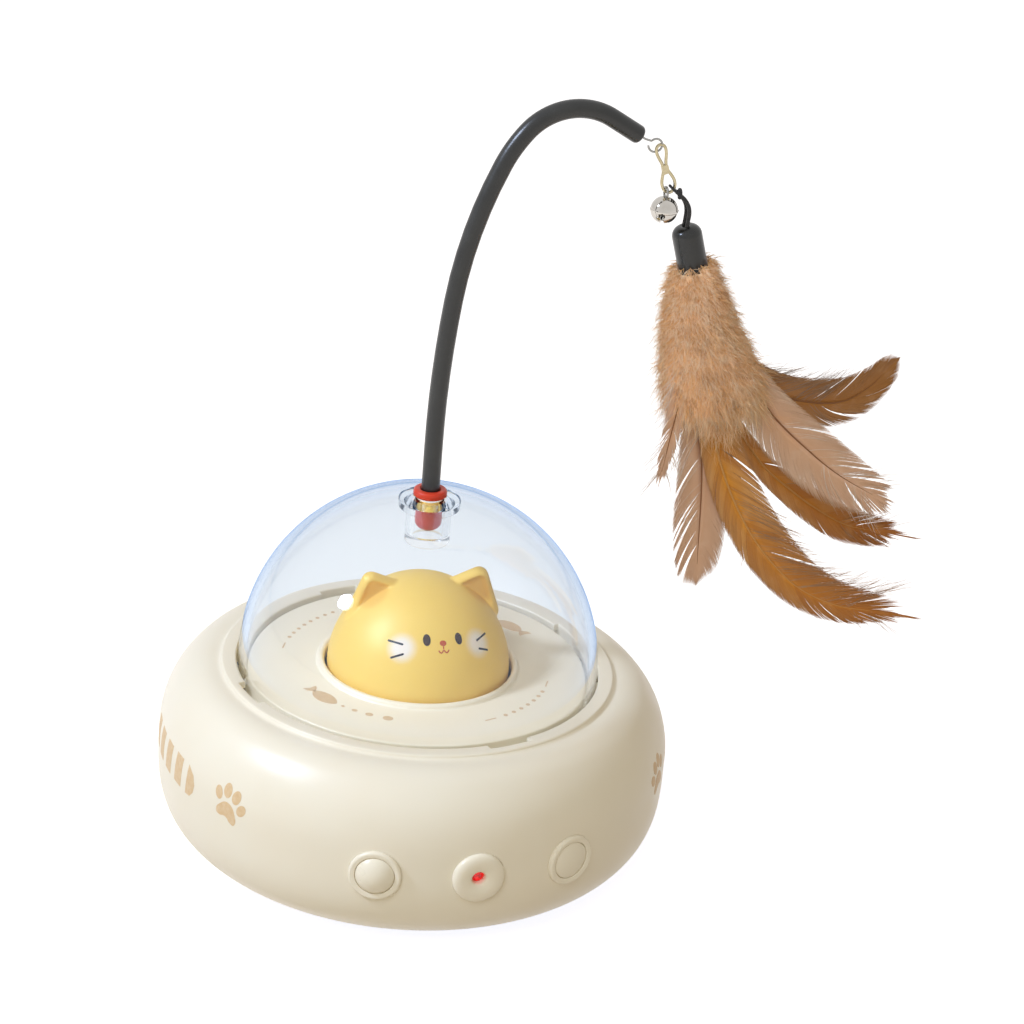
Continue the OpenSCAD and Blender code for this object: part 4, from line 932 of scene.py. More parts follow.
def bent_path(step=3.0):
    """The rod's centre line from its foot, over the bends, to the sleeve's end."""
    points = [Vector((0, 0, ROD_FOOT_Z)), Vector((0, 0, (ROD_FOOT_Z + ROD_UP_Z) / 2)), Vector((0, 0, ROD_UP_Z))]
    heading = 0.0
    for r, end in ROD_BENDS:
        start = points[-1]
        steps = max(6, round((end - heading) / step))
        for i in range(1, steps + 1):
            h = heading + (end - heading) * i / steps
            points.append(start + r * Vector((cos(heading) - cos(h), 0, sin(h) - sin(heading))))
        heading = end
    ahead = Vector((sin(heading), 0, cos(heading)))
    return points + [points[-1] + ahead * ROD_END], ahead


def tube(path, radii, sides=24, ring=False):
    """Points and faces of a round tube along a path of vectors, with a radius for each; ring joins its ends."""
    n = len(path)
    verts, faces = [], []
    across = None
    for i in range(n):
        before, after = (path[i - 1], path[(i + 1) % n]) if ring else (path[max(i - 1, 0)], path[min(i + 1, n - 1)])
        along = (after - before).normalized()
        if across is None:
            across = along.orthogonal().normalized()
        across = (across - along * across.dot(along)).normalized()
        over = along.cross(across)
        verts += [tuple(path[i] + radii[i] * (across * cos(a) + over * sin(a))) for a in even_turn(sides)]
    for i in range(n if ring else n - 1):
        here, there = i * sides, (i + 1) % n * sides
        faces += [(here + k, here + (k + 1) % sides, there + (k + 1) % sides, there + k) for k in range(sides)]
    if not ring:
        faces += [tuple(range(sides))[::-1], tuple(range((n - 1) * sides, n * sides))]
    return verts, faces


def black_vinyl(name, colour, worn_to, rough):
    """Extruded black vinyl: a dull broad sheen, fine drag marks and greyish scuffs."""
    return mottled(name, colour, worn_to, (7, 5.0, 0.45, 0.8), (7, 5.0), (rough - 0.05, rough + 0.06),
                   (0.7, 3.0), 0.02, {"IOR": 1.5})


rod_line, rod_ahead = bent_path()
rod_tip = rod_line[-1]
sleeve_line = rod_line[:-1] + [rod_tip - rod_ahead * d for d in (1.2, 0.8, 0.45, 0.2, 0.05, 0.0)]
sleeve_radii = [ROD_R] * (len(rod_line) - 1) + [ROD_R - d for d in (0, 0.06, 0.22, 0.5, 0.8, 1.2)]
sleeve = solid("rod_sleeve_skin", tube(sleeve_line, sleeve_radii, 40))
dress(sleeve, black_vinyl("black_vinyl", "222221", "2F2F2D", 0.33), "rod", "sleeve_rubber", "rod_sleeve")


def drawn_wire(name, colour, dull, rough):
    """Drawn and plated wire: bright metal with fine draw marks and dull spots."""
    return mottled(name, colour, dull, (1.5, 2.0, 0, 1), (0.4, 2.0), (rough - 0.05, rough + 0.1), (0.4, 2.0), 0.006,
                   {"Metallic": 1.0})


steel_wire = drawn_wire("drawn_steel_wire", "A9A8A4", "7E7D7A", 0.25)
eye_c = rod_tip + rod_ahead * (WIRE_OUT + EYE_R)
eye_side = Vector((0, 1, 0)).cross(rod_ahead)
eye_line = [rod_tip - rod_ahead * 6, rod_tip, rod_tip + rod_ahead * WIRE_OUT * 0.5]
for t in range(-165, 150, 10):
    eye_line.append(eye_c + EYE_R * (rod_ahead * cos(t) + eye_side * sin(t)) + Vector((0, 0.3 * sin(t / 2), 0)))
eye = solid("rod_wire_skin", tube(eye_line, [WIRE_R] * len(eye_line), 14))
dress(eye, steel_wire, "rod", "steel", "rod_wire")


# Snap and bell: a brass wire snap hooks the rod's eye to the lure. A chromed pressed bell
# with crossed slots and a loose pellet hangs from its lower loop.
SNAP_TILT = 18.0
SNAP_WIRE = 0.4
SNAP_TOP_R, SNAP_NECK, SNAP_LOW_R = 2.1, 3.4, 2.5
# half the eye's wire, the wire of the solid snap and a little room between them
SNAP_GAP = 0.5 + 0.35 + 0.2
BELL_R, BELL_WALL = 3.4, 0.5
BELL_TURN = 62.0
snap_dir = Vector((sin(SNAP_TILT), 0, -cos(SNAP_TILT)))
snap_side = Vector((cos(SNAP_TILT), 0, sin(SNAP_TILT)))
eye_low = eye_c + rod_ahead * EYE_R
snap_up = eye_low + snap_dir * (SNAP_TOP_R - SNAP_GAP)
snap_low = snap_up + snap_dir * (SNAP_TOP_R + SNAP_NECK + 2 * SNAP_LOW_R)
bell_c = snap_low + Vector((-1.1, 0, -BELL_R - 1.1))
# half of the bent wire: along the snap from its upper loop's middle, and aside
SNAP_HALF = [(-2.1, 0.0), (-1.85, 0.7), (-1.1, 1.15), (0.0, 1.2), (1.2, 0.95), (2.4, 0.6), (3.5, 0.42), (4.4, 0.45),
             (5.4, 0.8), (6.6, 1.3), (7.8, 1.62), (9.0, 1.55), (9.9, 1.1), (10.4, 0.45)]

snap_ring = SNAP_HALF + [(10.5, 0.0)] + [(u, -v) for u, v in SNAP_HALF[:0:-1]]
snap_line = curve_through([snap_up + snap_dir * u + snap_side * v for u, v in snap_ring], 5, ring=True)
clasp_mid = snap_up + snap_dir * 4.4
CLASP_EDGE = [(-1, -0.8), (-0.8, -1), (0.8, -1), (1, -0.8), (1, 0.8), (0.8, 1), (-0.8, 1), (-1, 0.8)]
clasp = [clasp_mid + snap_dir * (u * 1.15) + snap_side * (v * 0.85) + Vector((0, y, 0))
         for y in (-0.5, 0.5) for u, v in CLASP_EDGE]
clasp_faces = ([tuple(range(8))[::-1], tuple(range(8, 16))]
               + [(i, (i + 1) % 8, 8 + (i + 1) % 8, 8 + i) for i in range(8)])
snap = solid("snap_hook_skin", joined([tube(snap_line, [SNAP_WIRE] * len(snap_line), 14, ring=True),
                                       ([tuple(p) for p in clasp], clasp_faces)]))
dress(snap, drawn_wire("drawn_brass_wire", "CFC3A4", "A0936F", 0.26), "snap", "brass", "snap_hook")


# Chrome plate on pressed steel: a mirror with faint ripples from the press.
chrome_plate = mottled("chrome_plate", "D2CEC8", "B4AEA6", (2, 2.0, 0, 1), (2, 2.0), (0.05, 0.12), (2, 2.0), 0.03,
                       {"Metallic": 1.0})
bell_outer = [(BELL_R * cos(a) + (0.14 if abs(a) < 3.1 else 0), BELL_R * sin(a))
              for a in [-87 + 3 * i for i in range(59)]]
bell_outer = [(0, -BELL_R)] + bell_outer + [(0, BELL_R)]
bell_place = Matrix.Translation(bell_c) @ spun(BELL_TURN)
bell = solid("bell_shell_skin", lathe(lambda a: bell_outer, even_turn(96)), bell_place)
hollow = solid("cutter", ball((0, 0, 0), BELL_R - BELL_WALL, 32), bell_place)
slot_cuts = [solid("cutter", block((-BELL_R - 1, -0.45, -BELL_R - 1), (BELL_R + 1, 0.45, -0.9)),
                   bell_place @ spun(a)) for a in (0, 90)]
slot_ends = [solid("cutter", bar(0.85, BELL_R - 1.5, BELL_R + 1, 24),
                   bell_place @ spun(a) @ spun(104, "Y")) for a in (0, 90, 180, 270)]
carve(bell, [hollow] + slot_cuts + slot_ends)
dress(bell, chrome_plate, "bell", "bell_chrome", "bell_shell")
bell_loop = [bell_c + Vector((0, 1.3 * cos(t), BELL_R + 1.05 + 1.3 * sin(t))) for t in even_turn(36)]
loop = solid("bell_loop", tube(bell_loop, [0.3] * len(bell_loop), 12, ring=True))
dress(loop, steel_wire, "bell", "bell_chrome")


# Lure cord and cap: a loop of waxed black cord ties a black vinyl cap to the snap, with a
# small knot where it passes the loop. The cap grips the quills of the down and feathers.
LURE_TILT = 16.0
CAP_R, CAP_L, CAP_WALL = 3.75, 12.0, 0.7
CORD_R = 0.5
lure_top = snap_low + Vector((4.8, 0, -8.6))
lure_x = Vector((cos(LURE_TILT), 0, sin(LURE_TILT)))
lure_down = Vector((sin(LURE_TILT), 0, -cos(LURE_TILT)))
CORD_HALF = [(4.8, 1.1, -9.2), (5, 1.1, -7.2), (5.1, 1.2, -5.2), (4.7, 1.25, -3.4), (3.6, 1.25, -1.7),
             (2.1, 1.3, -0.4), (0.7, 1.3, 0.7), (0.0, 0.8, 1.35), (-0.15, 0, 1.55)]


def waxed_cord():
    """Waxed twisted cord: black, with slanting strands and a waxy glint on each."""
    made = bare_material("black_waxed_cord")
    where = node(made, "TexCoord", {}).outputs["Object"]
    twist = node(made, "TexWave", {"Vector": where, "bands_direction": "DIAGONAL", "Scale": 1 / (6.6 * MM),
                                   "Distortion": 1.5}).outputs["Fac"]
    colours = node(made, "Mix", {"data_type": "RGBA", "Factor": twist, "A": linear("0F0E0E"),
                                 "B": linear("1C1B1A")})
    wax = node(made, "TexNoise", {"Vector": where, "Scale": 1 / (0.6 * MM)})
    gloss = node(made, "MapRange", {"Value": wax, "From Min": 0.35, "From Max": 0.65,
                                    "To Min": 0.38, "To Max": 0.6})
    relief = node(made, "Bump", {"Height": twist, "Distance": 0.06 * MM})
    skin = node(made, "BsdfPrincipled", {"Base Color": colours, "Roughness": gloss, "Normal": relief, "IOR": 1.45})
    node(made, "OutputMaterial", {"Surface": skin})
    return made


cord_points = [snap_low + Vector(q) for q in CORD_HALF + [(x, -y, z) for x, y, z in CORD_HALF[-2::-1]]]
cord_line = curve_through(cord_points, 6)
knot_mid = snap_low + Vector((2.5, 0, -0.6))
knot_line = [knot_mid + Vector((0.35 * cos(t), 1.35 * cos(t) + 0.2 * sin(2 * t), 0.75 * sin(t) - 0.3 * cos(2 * t)))
             for t in even_turn(40)]
# the cord is pulled thin where it goes over the wire
cord_r = [CORD_R * (1 - 0.36 * min(1.0, max(0.0, 4.75 - 25 * abs(i / (len(cord_line) - 1) - 0.5))))
          for i in range(len(cord_line))]
cord = solid("lure_cord_skin", joined([tube(cord_line, cord_r, 16),
                                       tube(knot_line, [CORD_R] * len(knot_line), 14, ring=True)]))
dress(cord, waxed_cord(), "lure", "cord_nylon", "lure_cord")


def at_lure(x, y, depth):
    """A point of the lure from x beside its axis, y across and depth below the cap's top."""
    return lure_top + lure_x * x + Vector((0, y, 0)) + lure_down * depth


lure_place = Matrix.Translation(lure_top) @ Matrix((lure_x, Vector((0, 1, 0)), -lure_down)).transposed().to_4x4()
cap_profile = ([(0, -3), (0, -0.25), (0.7, -0.2), (CAP_R - 2.6, 0)] + arc((CAP_R - 2.6, -2.6), 2.6, 84, 0, 14)
               + [(CAP_R, -CAP_L + 0.2), (CAP_R - 0.15, -CAP_L), (CAP_R - CAP_WALL, -CAP_L),
                  (CAP_R - CAP_WALL, -3)])
cap = solid("lure_cap_skin", lathe(lambda a: cap_profile, even_turn(72), closed=True), lure_place)
dress(cap, black_vinyl("cap_vinyl", "171716", "24231F", 0.26), "lure", "black_abs", "lure_cap")


# Down: soft tan barbs in small plumes round the quills, puffed out under the cap and wide
# at the roots of the feathers. Barbs are drawn thicker than life so that they show.
FLUFF_TOP, FLUFF_LOW = 9.5, 49.0
FLUFF_TOP_R, FLUFF_LOW_R = 4.6, 14.6
FLUFF_ASIDE = -1.2
PLUMES = 5600
BARBS_IN_PLUME = 6
BARB_POINTS = 4
DOWN_PIECES = 3
seeded = random.Random(7)


def fluff_share(depth):
    return max(0.0, min(1.0, (depth - FLUFF_TOP) / (FLUFF_LOW - FLUFF_TOP)))


def fluff_r(depth):
    """Radius of the down at a depth below the cap's top; it draws in again at the low end."""
    share = fluff_share(depth)
    return (FLUFF_TOP_R + (FLUFF_LOW_R - FLUFF_TOP_R) * share ** 0.9) * (1 - 0.4 * max(0.0, share / 0.2 - 4) ** 2)


def in_fluff(r, angle, depth):
    """A point in the down, whose middle bulges a little aside."""
    return at_lure(r * cos(angle) + FLUFF_ASIDE * sin(180 * fluff_share(depth)), r * sin(angle), depth)


def spike(line, thick):
    """Points and faces of a three-sided barb that narrows to a point along a line."""
    n = len(line)
    along = (line[-1] - line[0]).normalized()
    across = along.orthogonal().normalized()
    over = along.cross(across)
    verts = []
    for i in range(n - 1):
        r = thick * (1 - 0.8 * i / (n - 1))
        verts += [tuple(line[i] + r * (across * cos(a) + over * sin(a))) for a in (0, 120, 240)]
    verts.append(tuple(line[-1]))
    faces = [(2, 1, 0)]
    for i in range(n - 2):
        faces += [(3 * i + k, 3 * i + (k + 1) % 3, 3 * i + 3 + (k + 1) % 3, 3 * i + 3 + k) for k in range(3)]
    last = 3 * (n - 2)
    faces += [(last + k, last + (k + 1) % 3, last + 3) for k in range(3)]
    return verts, faces


def marked(obj, **marks):
    """Stores numbers for each point of a mesh, for its material to read."""
    for name, values in marks.items():
        obj.data.attributes.new(name, "FLOAT", "POINT").data.foreach_set("value", values)
    return obj


def raw_solid(name, shape):
    """A smooth mesh object from points in mm, point for point as given."""
    mesh = bpy.data.meshes.new(name)
    mesh.from_pydata([Vector(v) * MM for v in shape[0]], [], shape[1])
    mesh.polygons.foreach_set("use_smooth", [True] * len(mesh.polygons))
    made = bpy.data.objects.new(name, mesh)
    bpy.context.scene.collection.objects.link(made)
    return made


def down_plume(parts, along, tone):
    """One plume: barbs that spring from a short stem, which leans outwards and hangs down."""
    share = seeded.random() ** 0.75
    angle = seeded.uniform(0, 360)
    ragged = 2.2 * sin(3 * angle + 50) + 1.6 * sin(7 * angle)
    depth = FLUFF_TOP + (FLUFF_LOW - FLUFF_TOP) * share + ragged * share ** 4
    hanging = max(0.0, share / 0.3 - 2.33)
    outer = fluff_r(depth)
    least = CAP_R + 0.1 if depth < CAP_L + 0.3 else 0
    root = in_fluff(max(least, outer * seeded.uniform(0.72, 0.92)), angle, depth)
    outwards = (in_fluff(outer, angle, depth) - in_fluff(0, angle, depth)).normalized()
    aside = outwards.cross(lure_down)
    flare = 0.95 - 0.45 * share + seeded.gauss(0, 0.16)
    sag = 0.35 + 0.6 * share + 0.8 * hanging
    lean = (outwards * flare + lure_down * sag + aside * seeded.gauss(0, 0.25)).normalized()
    stem = seeded.uniform(2.0, 3.6) * (0.8 + 0.4 * share) * (1 + 0.9 * hanging * seeded.random())
    plume_tone = seeded.random()
    for barb in range(BARBS_IN_PLUME):
        start = root + lean * stem * seeded.uniform(0.0, 0.55)
        spread = Vector([seeded.gauss(0, 0.45) for axis in range(3)])
        way = (lean + spread).normalized()
        reach = stem * seeded.uniform(0.6, 1.1) * (1.9 if seeded.random() < 0.14 else 1)
        droop = lure_down * reach * seeded.uniform(0.1, 0.35)
        curl = Vector([seeded.gauss(0, 0.09) for axis in range(3)]) * reach
        line = []
        for i in range(BARB_POINTS):
            t = i / (BARB_POINTS - 1)
            line.append(start + way * reach * t + droop * t * t + curl * 4 * t * (1 - t))
        parts.append(spike(line, seeded.uniform(0.045, 0.085)))
        count = 3 * (BARB_POINTS - 1) + 1
        along += [i / (BARB_POINTS - 1) for i in range(BARB_POINTS - 1) for corner in range(3)] + [1.0]
        tone += [plume_tone + seeded.gauss(0, 0.15)] * count


def tan_down_fibre():
    """Dyed down: fine matt barbs, warm, paler at the tip and darker at the root, the root's darkness partly the
    down's own colour and partly painted shade in the gaps between barbs.
    """
    made = bare_material("tan_down")
    where = node(made, "TexCoord", {}).outputs["Object"]
    along = node(made, "Attribute", {"attribute_name": "along"}).outputs["Fac"]
    tone = node(made, "Attribute", {"attribute_name": "tone"}).outputs["Fac"]
    plumes = node(made, "MapRange", {"Value": tone, "From Min": 0.0, "From Max": 1.0})
    warm = node(made, "Mix", {"data_type": "RGBA", "Factor": plumes, "A": linear("FFD096"), "B": linear("FFF2DA")})
    # The root colour is partly painted shade: barbs are drawn darker towards the root, where the gaps between them
    # fall in shadow.
    rise = node(made, "MapRange", {"Value": along, "From Min": 0.0, "From Max": 0.7})
    root_shade_to_tip = node(made, "Mix", {"data_type": "RGBA", "Factor": rise, "A": linear("E6AA62"), "B": warm})
    cloud = node(made, "TexNoise", {"Vector": where, "Scale": 1 / (6 * MM)})
    patches = node(made, "MapRange", {"Value": cloud, "From Min": 0.45, "From Max": 0.7, "To Max": 0.5})
    colours = node(made, "Mix", {"data_type": "RGBA", "Factor": patches, "A": root_shade_to_tip, "B": linear("FAC282")})
    skin = node(made, "BsdfPrincipled", {"Base Color": colours, "Roughness": 0.75, "IOR": 1.5,
                                         "Specular IOR Level": 0.25, "Sheen Weight": 0.15})
    node(made, "OutputMaterial", {"Surface": skin})
    return made


tan_down = tan_down_fibre()
for piece in range(1, DOWN_PIECES + 1):
    barbs, along, tone = [], [], []
    for plume in range(PLUMES // DOWN_PIECES):
        down_plume(barbs, along, tone)
    down = marked(raw_solid(f"down_plumes_{piece}", joined(barbs)), along=along, tone=tone)
    down.visible_shadow = piece == 1    # light goes through such fine barbs, so only a third of them cast a shadow
    dress(down, tan_down, "lure", "down", *(["fluff"] if piece == 1 else []))

core_depths = [CAP_L + (FLUFF_LOW - CAP_L) * i / 24 for i in range(25)]


def core_profile(angle):
    """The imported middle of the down, lumpy all round."""
    rows = [(fluff_r(d) * (0.78 + 0.04 * sin(5 * angle + 40 * i) + 0.03 * sin(9 * angle - 60 * i))
             * (1 if d < FLUFF_LOW - 3 else 0.8), -d) for i, d in enumerate(core_depths)]
    return [(0, -core_depths[0])] + rows + [(0, -core_depths[-1] - 2)]


core = solid("down_core", lathe(core_profile, even_turn(72)), lure_place, 80)
marked(core, along=[0.4] * len(core.data.vertices), tone=[0.4] * len(core.data.vertices))
dress(core, tan_down, "lure", "down")


# Feathers: each has a horny shaft and two vanes of fine barbs that lean towards the tip and
# lie side by side. A vane parts here and there, frays at the end and may carry loose wisps.
BARB_STEP = 0.17
VANE_STEPS = 6
VANE_FROM, VANE_TO = 0.25, 1.08


def feather_barbs(name, shaft, inner, outer, tip, loose):
    """Feather barbs: thin horn with a soft sheen, blotched and streaked lock by lock, greyer where loose."""
    made = bare_material(name)
    where = node(made, "TexCoord", {}).outputs["Object"]
    along, out, tone, apart = [node(made, "Attribute", {"attribute_name": a}).outputs["Fac"]
                               for a in ("along", "out", "tone", "apart")]
    edge = node(made, "MapRange", {"Value": out, "From Min": 0.15, "From Max": 0.9})
    vane = node(made, "Mix", {"data_type": "RGBA", "Factor": edge, "A": linear(inner), "B": linear(outer)})
    end = node(made, "MapRange", {"Value": along, "From Min": 0.6, "From Max": 1.05, "To Max": 0.9})
    ended = node(made, "Mix", {"data_type": "RGBA", "Factor": end, "A": vane, "B": linear(tip)})
    cloud = node(made, "TexNoise", {"Vector": where, "Scale": 1 / (5 * MM), "Detail": 4.0})
    blots = node(made, "MapRange", {"Value": cloud, "From Min": 0.5, "From Max": 0.75, "To Max": 0.5})
    blotched = node(made, "Mix", {"data_type": "RGBA", "Factor": blots, "A": ended, "B": linear(outer)})
    locks = node(made, "MapRange", {"Value": tone, "To Max": 0.8})
    streaked = node(made, "Mix", {"data_type": "RGBA", "Factor": locks, "A": blotched, "B": linear(tip)})
    parted = node(made, "Mix", {"data_type": "RGBA", "Factor": apart, "A": streaked, "B": linear(loose)})
    root = node(made, "MapRange", {"Value": out, "From Min": 0.0, "From Max": 0.05})
    whole = node(made, "Mix", {"data_type": "RGBA", "Factor": root, "A": linear(shaft), "B": parted})
    skin = node(made, "BsdfPrincipled", {"Base Color": whole, "Roughness": 0.5, "IOR": 1.54, "Sheen Weight": 0.1,
                                         "Specular IOR Level": 0.3})
    node(made, "OutputMaterial", {"Surface": skin})
    return made


def ribbon(line, flat, thick, widths):
    """Points and faces of a thin flat barb along a line; flat is its broad side's normal, widths are halves."""
    n = len(line)
    verts, faces = [], []
    for i in range(n):
        along = (line[min(i + 1, n - 1)] - line[max(i - 1, 0)]).normalized()
        wide = flat.cross(along).normalized()
        verts += [tuple(line[i] + wide * widths[i]), tuple(line[i] + flat * thick),
                  tuple(line[i] - wide * widths[i]), tuple(line[i] - flat * thick)]
    for i in range(n - 1):
        faces += [(4 * i + k, 4 * i + (k + 1) % 4, 4 * i + 4 + (k + 1) % 4, 4 * i + 4 + k) for k in range(4)]
    return verts, faces + [(3, 2, 1, 0), (4 * n - 4, 4 * n - 3, 4 * n - 2, 4 * n - 1)]


def make_feather(name, barbs, route, turned, across, halves, widest, full, lean, partings, frayed, wisps=()):
    """A feather. The route is its shaft as places beside the lure's axis and depths; turned and across place
    it round the axis. Halves are the widths of the vanes on the lower and the upper side, widest and full
    shape their outline, lean is how far a barb runs ahead for its reach. Partings counts the gaps in each
    vane, and wisps are loose barbs as side, first and last share of the shaft, count, shortest, longest."""
    draw = random.Random(name)
    bends = curve_through([Vector((x * cos(turned), across + x * sin(turned), d)) for x, d in route], 12)
    line = [at_lure(*p) for p in bends]
    runs = [0.0]
    for a, b in zip(line, line[1:]):
        runs.append(runs[-1] + (b - a).length)
    length = runs[-1]
    facing = (lure_x * -sin(turned) + Vector((0, 1, 0)) * cos(turned)).normalized()
    power = math.log(0.5) / math.log(widest)

    def shaft_at(share):
        """Place and heading on the shaft; past its end it runs straight on."""
        i = min(max(bisect.bisect(runs, share * length) - 1, 0), len(line) - 2)
        ahead = (line[i + 1] - line[i]).normalized()
        return line[i] + ahead * (share * length - runs[i]), ahead

    def width_at(share, half):
        u = (share - VANE_FROM) / (VANE_TO - VANE_FROM)
        return half * sin(180 * u ** power) ** full if 0 < u < 1 else 0.0

    n = len(line)
    parts = [tube(line, [0.4 * (1 - 0.85 * i / (n - 1)) for i in range(n)], 8)]
    along, out, tone, apart = [0.4] * 8 * n, [0.0] * 8 * n, [0.0] * 8 * n, [0.0] * 8 * n

    def lay_barb(share, end_share, side, reach, lift, base, shade_of, loose):
        """One barb from the shaft to a place beside it further on."""
        root, ahead = shaft_at(share)
        end_at, end_ahead = shaft_at(end_share)
        end = end_at + facing.cross(end_ahead).normalized() * side * reach + facing * lift
        bend = (root + facing.cross(ahead).normalized() * side * reach * 0.58
                + ahead * (end_share - share) * length * 0.4)
        curve = [(1 - t) ** 2 * root + 2 * t * (1 - t) * bend + t * t * end
                 for t in [k / VANE_STEPS for k in range(VANE_STEPS + 1)]]
        parts.append(ribbon(curve, facing, 0.025, [base * (1 - 0.85 * (k / VANE_STEPS) ** 6)
                                                   for k in range(VANE_STEPS + 1)]))
        corners = 4 * (VANE_STEPS + 1)
        along.extend([end_share] * corners)
        out.extend([0.06 + 0.94 * k / VANE_STEPS for k in range(VANE_STEPS + 1) for corner in range(4)])
        tone.extend([shade_of] * corners)
        apart.extend([loose] * corners)

    count = int(length * (1 - VANE_FROM) / BARB_STEP)
    for side, half, gaps in zip((1, -1), halves, partings):
        splits = [(draw.uniform(VANE_FROM + 0.1, 0.95), draw.uniform(0.6, 2.4)) for gap in range(gaps)]
        close = VANE_TO - 0.004 - 1 - lean * width_at(1.0, half) / length
        left = 0
        for i in range(count):
            share = VANE_FROM + (1 - VANE_FROM) * (i + 1) / count
            near = max(0.0, (share - 0.8) / 0.2)
            if left == 0:
                left = draw.randint(5, 9) if near and frayed > 0.3 else draw.randint(9, 24)
                lock_tone, lock_shift = draw.random(), draw.gauss(0, 0.028 * frayed * near)
                lock_lift = draw.gauss(0, 0.12 + 0.5 * frayed * near)
            left -= 1
            end_share = share + lean * width_at(share, half) / length + close * near * near * (3 - 2 * near)
            for at, gap in splits:
                end_share += math.copysign(gap / 2 / length * math.exp(-abs(share - at) * length / 2.2), share - at)
            end_share = min(end_share, VANE_TO - 0.003)
            fan = max(0.0, (share - 0.9) / 0.1)
            reach = width_at(end_share, half) * (1 - fan * fan) * (1 + draw.gauss(0, 0.012 + 0.05 * frayed * near))
            end_share += lock_shift + draw.gauss(0, 0.012 * frayed * near)
            lift = -0.12 * reach + lock_lift * reach / half
            lay_barb(share, end_share, side, reach, lift, 0.11, 0.7 * lock_tone + 0.3 * draw.random(), 0.0)
    for side, first, last, number, shortest, longest in wisps:
        for i in range(number):
            share = draw.uniform(first, last)
            reach = draw.uniform(shortest, longest)
            end_share = share + reach * lean * draw.uniform(0.5, 1.1) / length
            lay_barb(share, end_share, side, reach, draw.gauss(0, 0.2 * reach), 0.05, draw.random(), 1.0)
    feather = marked(raw_solid(name + "_barbs", joined(parts)), along=along, out=out, tone=tone, apart=apart)
    dress(feather, barbs, "lure", "feather_barb", name)


# shaft, near the shaft, towards the edge, towards the tip, loose wisps
brown_barbs = feather_barbs("brown_feather_barbs", "8A5A2E", "C08448", "CBA078", "9E682E", "9A8678")
pale_barbs = feather_barbs("pale_feather_barbs", "8A5C3A", "E0AA7E", "F2D8C4", "DCB294", "EADCD2")
orange_barbs = feather_barbs("orange_feather_barbs", "CC9654", "E09A38", "E6B47A", "B46E28", "AE8A6C")
blush_barbs = feather_barbs("blush_feather_barbs", "DCC0A8", "F2DCC8", "EED4BC", "F0DECE", "F0E2D8")
make_feather("feather_1", brown_barbs,
             [(1.6, 10), (7, 38), (17, 54), (28, 62), (38, 66), (46.5, 65.5), (52, 63.5)], 15, 2.4,
             (6.2, 7.0), 0.66, 0.45, 2.0, (1, 2), 0.15,
             [(-1, 0.42, 0.74, 130, 5.0, 10.0), (1, 0.5, 0.8, 20, 5.0, 7.0)])
make_feather("feather_2", pale_barbs,
             [(1.2, 10), (6.5, 38), (12.7, 55), (21, 68.5), (27.5, 77), (35, 84.5)], -10, -0.8,
             (8.6, 7.6), 0.62, 0.42, 1.6, (3, 7), 0.5,
             [(-1, 0.6, 1.0, 50, 5.0, 9.0), (1, 0.8, 1.0, 40, 5.0, 9.0)])
make_feather("feather_3", orange_barbs,
             [(0.8, 10), (1, 44), (8.5, 69), (16.5, 82), (24, 91.5), (31, 98.5), (40, 104)], 8, 1.6,
             (4.8, 4.8), 0.76, 0.4, 2.2, (1, 2), 0.8,
             [(-1, 0.6, 1.0, 30, 4.0, 6.5), (1, 0.85, 1.0, 25, 3.0, 5.0)])
make_feather("feather_4", orange_barbs,
             [(0.4, 10), (-1.5, 36), (-3, 55), (-2, 70), (1, 84), (5.5, 96), (12, 107), (21, 115.5), (31, 121)],
             0, -2.2, (5.4, 8.2), 0.5, 0.36, 2.0, (1, 4), 0.9,
             [(-1, 0.5, 0.95, 190, 7.0, 11.5), (1, 0.8, 1.0, 25, 4.0, 6.0)])
make_feather("feather_5", blush_barbs,
             [(-0.4, 10), (-4, 45), (-2.2, 70), (0.8, 84.5), (3.6, 95)], 0, 0.8,
             (4.6, 4.6), 0.6, 0.5, 1.6, (3, 3), 0.5,
             [(-1, 0.5, 1.0, 40, 4.0, 7.0), (1, 0.5, 1.0, 40, 4.0, 7.0)])
make_feather("feather_6", pale_barbs,
             [(-0.8, 10), (-4, 40), (-6.5, 58), (-8.2, 68.5), (-10.4, 78), (-12.4, 86), (-13.6, 91)], 8, -0.4,
             (8.2, 7.4), 0.7, 0.36, 1.5, (7, 1), 0.12,
             [(1, 0.5, 0.85, 40, 6.0, 10.0)])
make_feather("feather_7", pale_barbs,
             [(-1.2, 10), (-6, 30), (-11, 43), (-15.5, 52), (-19.5, 60)], 12, -2.4,
             (3.2, 2.6), 0.55, 0.6, 1.6, (6, 4), 1.0,
             [(1, 0.4, 1.0, 60, 3.0, 7.0), (-1, 0.5, 1.0, 40, 3.0, 6.0)])


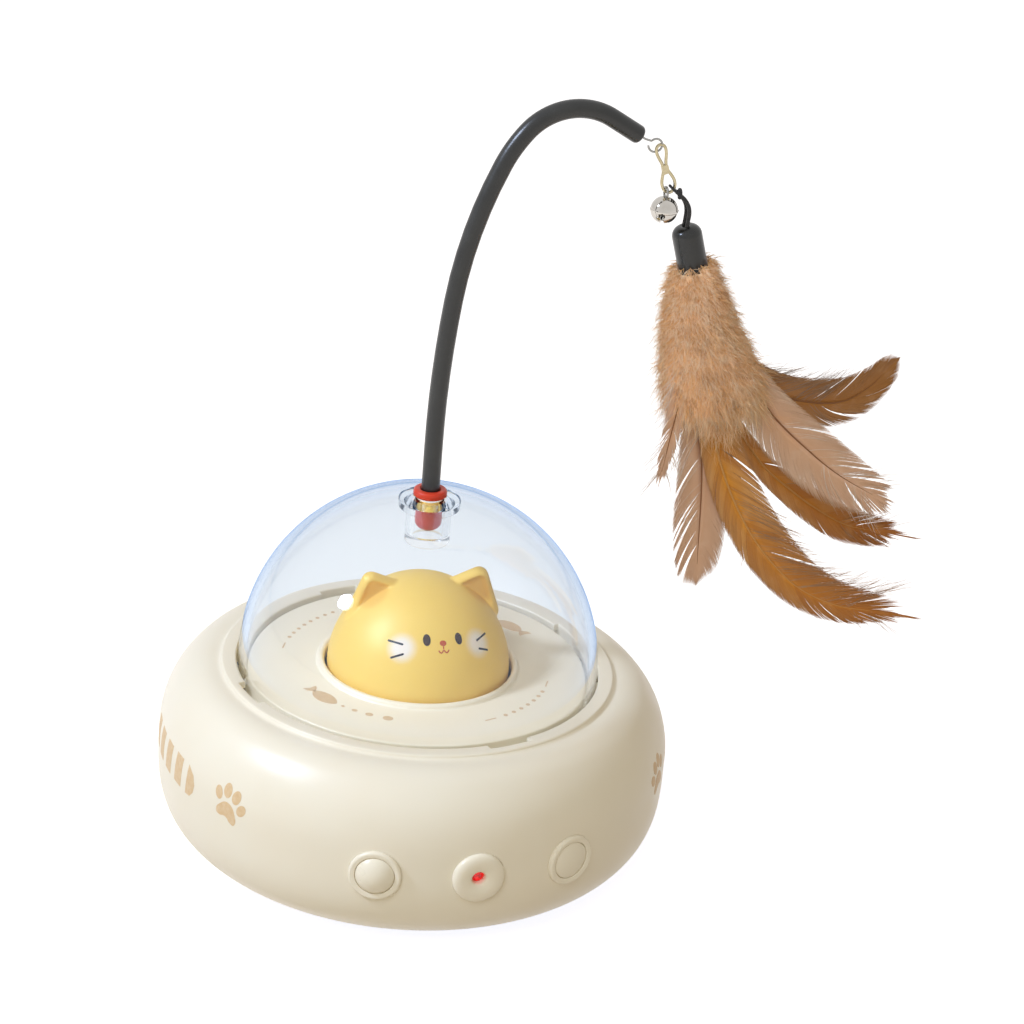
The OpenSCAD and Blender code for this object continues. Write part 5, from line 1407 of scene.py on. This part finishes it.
# Foot: a cream ABS disc with a grey rubber pad stays still on the floor while the saucer
# turns over it. The solids keep their shapes and get their finishes.
def finish_nodes(material, *names):
    for name in names:
        solid_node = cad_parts[name]
        solid_node.data.materials.clear()
        solid_node.data.materials.append(material)


# Moulded rubber: dull and slightly rough, with dust-grey wear.
grey_rubber = mottled("grey_rubber", "4A4A48", "5C5B58", (6, 5.0, 0.4, 0.7), (6, 5.0), (0.6, 0.8), (0.8, 2.0), 0.04,
                      {"IOR": 1.52})
finish_nodes(grey_rubber, "foot_pad")
finish_nodes(cream_abs, "foot_disc")


# Works inside the shells: acetal gears, a can motor, a green board with two switches, a
# wrapped cell in a cradle, a charging socket and plated screws.
def machine_part(name, colour, deep, rough, lump, metallic=0.0):
    """A machine part's finish: a broken colour in lumps of a size in mm, uneven gloss and a fine grain."""
    return mottled(name, colour, deep, (lump, 2.0, 0, 1), (lump, 2.0), (rough - 0.06, rough + 0.08),
                   (0.4, 2.0), 0.01, {"Metallic": metallic})


INNER_FINISHES = [
    (machine_part("white_acetal", "ECEBE6", "E2E1DB", 0.4, 3), ("sun_gear", "drive_gear")),
    (machine_part("grey_moulded_abs", "C9CACA", "BEBFBF", 0.45, 8), ("gear_plate",)),
    (machine_part("black_moulded_abs", "222222", "2C2C2C", 0.5, 4),
     ("power_switch", "mode_switch", "battery_cradle", "power_plunger", "mode_plunger")),
    (machine_part("nickel_plated_steel", "C4C4C2", "A9A9A7", 0.28, 2, 1.0),
     ("thrust_washer", "axle_washer", "axle_screw", "body_screws", "deck_screws", "head_screws", "board_screws",
      "plate_screws", "gear_pin", "motor_can", "motor_shaft", "charge_socket", "bell_pellet")),
    (machine_part("turned_brass", "C7A35A", "AE8B46", 0.3, 2, 1.0), ("motor_pinion", "laser_barrel")),
    (machine_part("green_board_laminate", "1F6B45", "185538", 0.42, 5), ("main_board",)),
    (machine_part("blue_cell_wrap", "3E6FA8", "33608F", 0.38, 9), ("battery_cell",)),
]
for material, names in INNER_FINISHES:
    finish_nodes(material, *names)
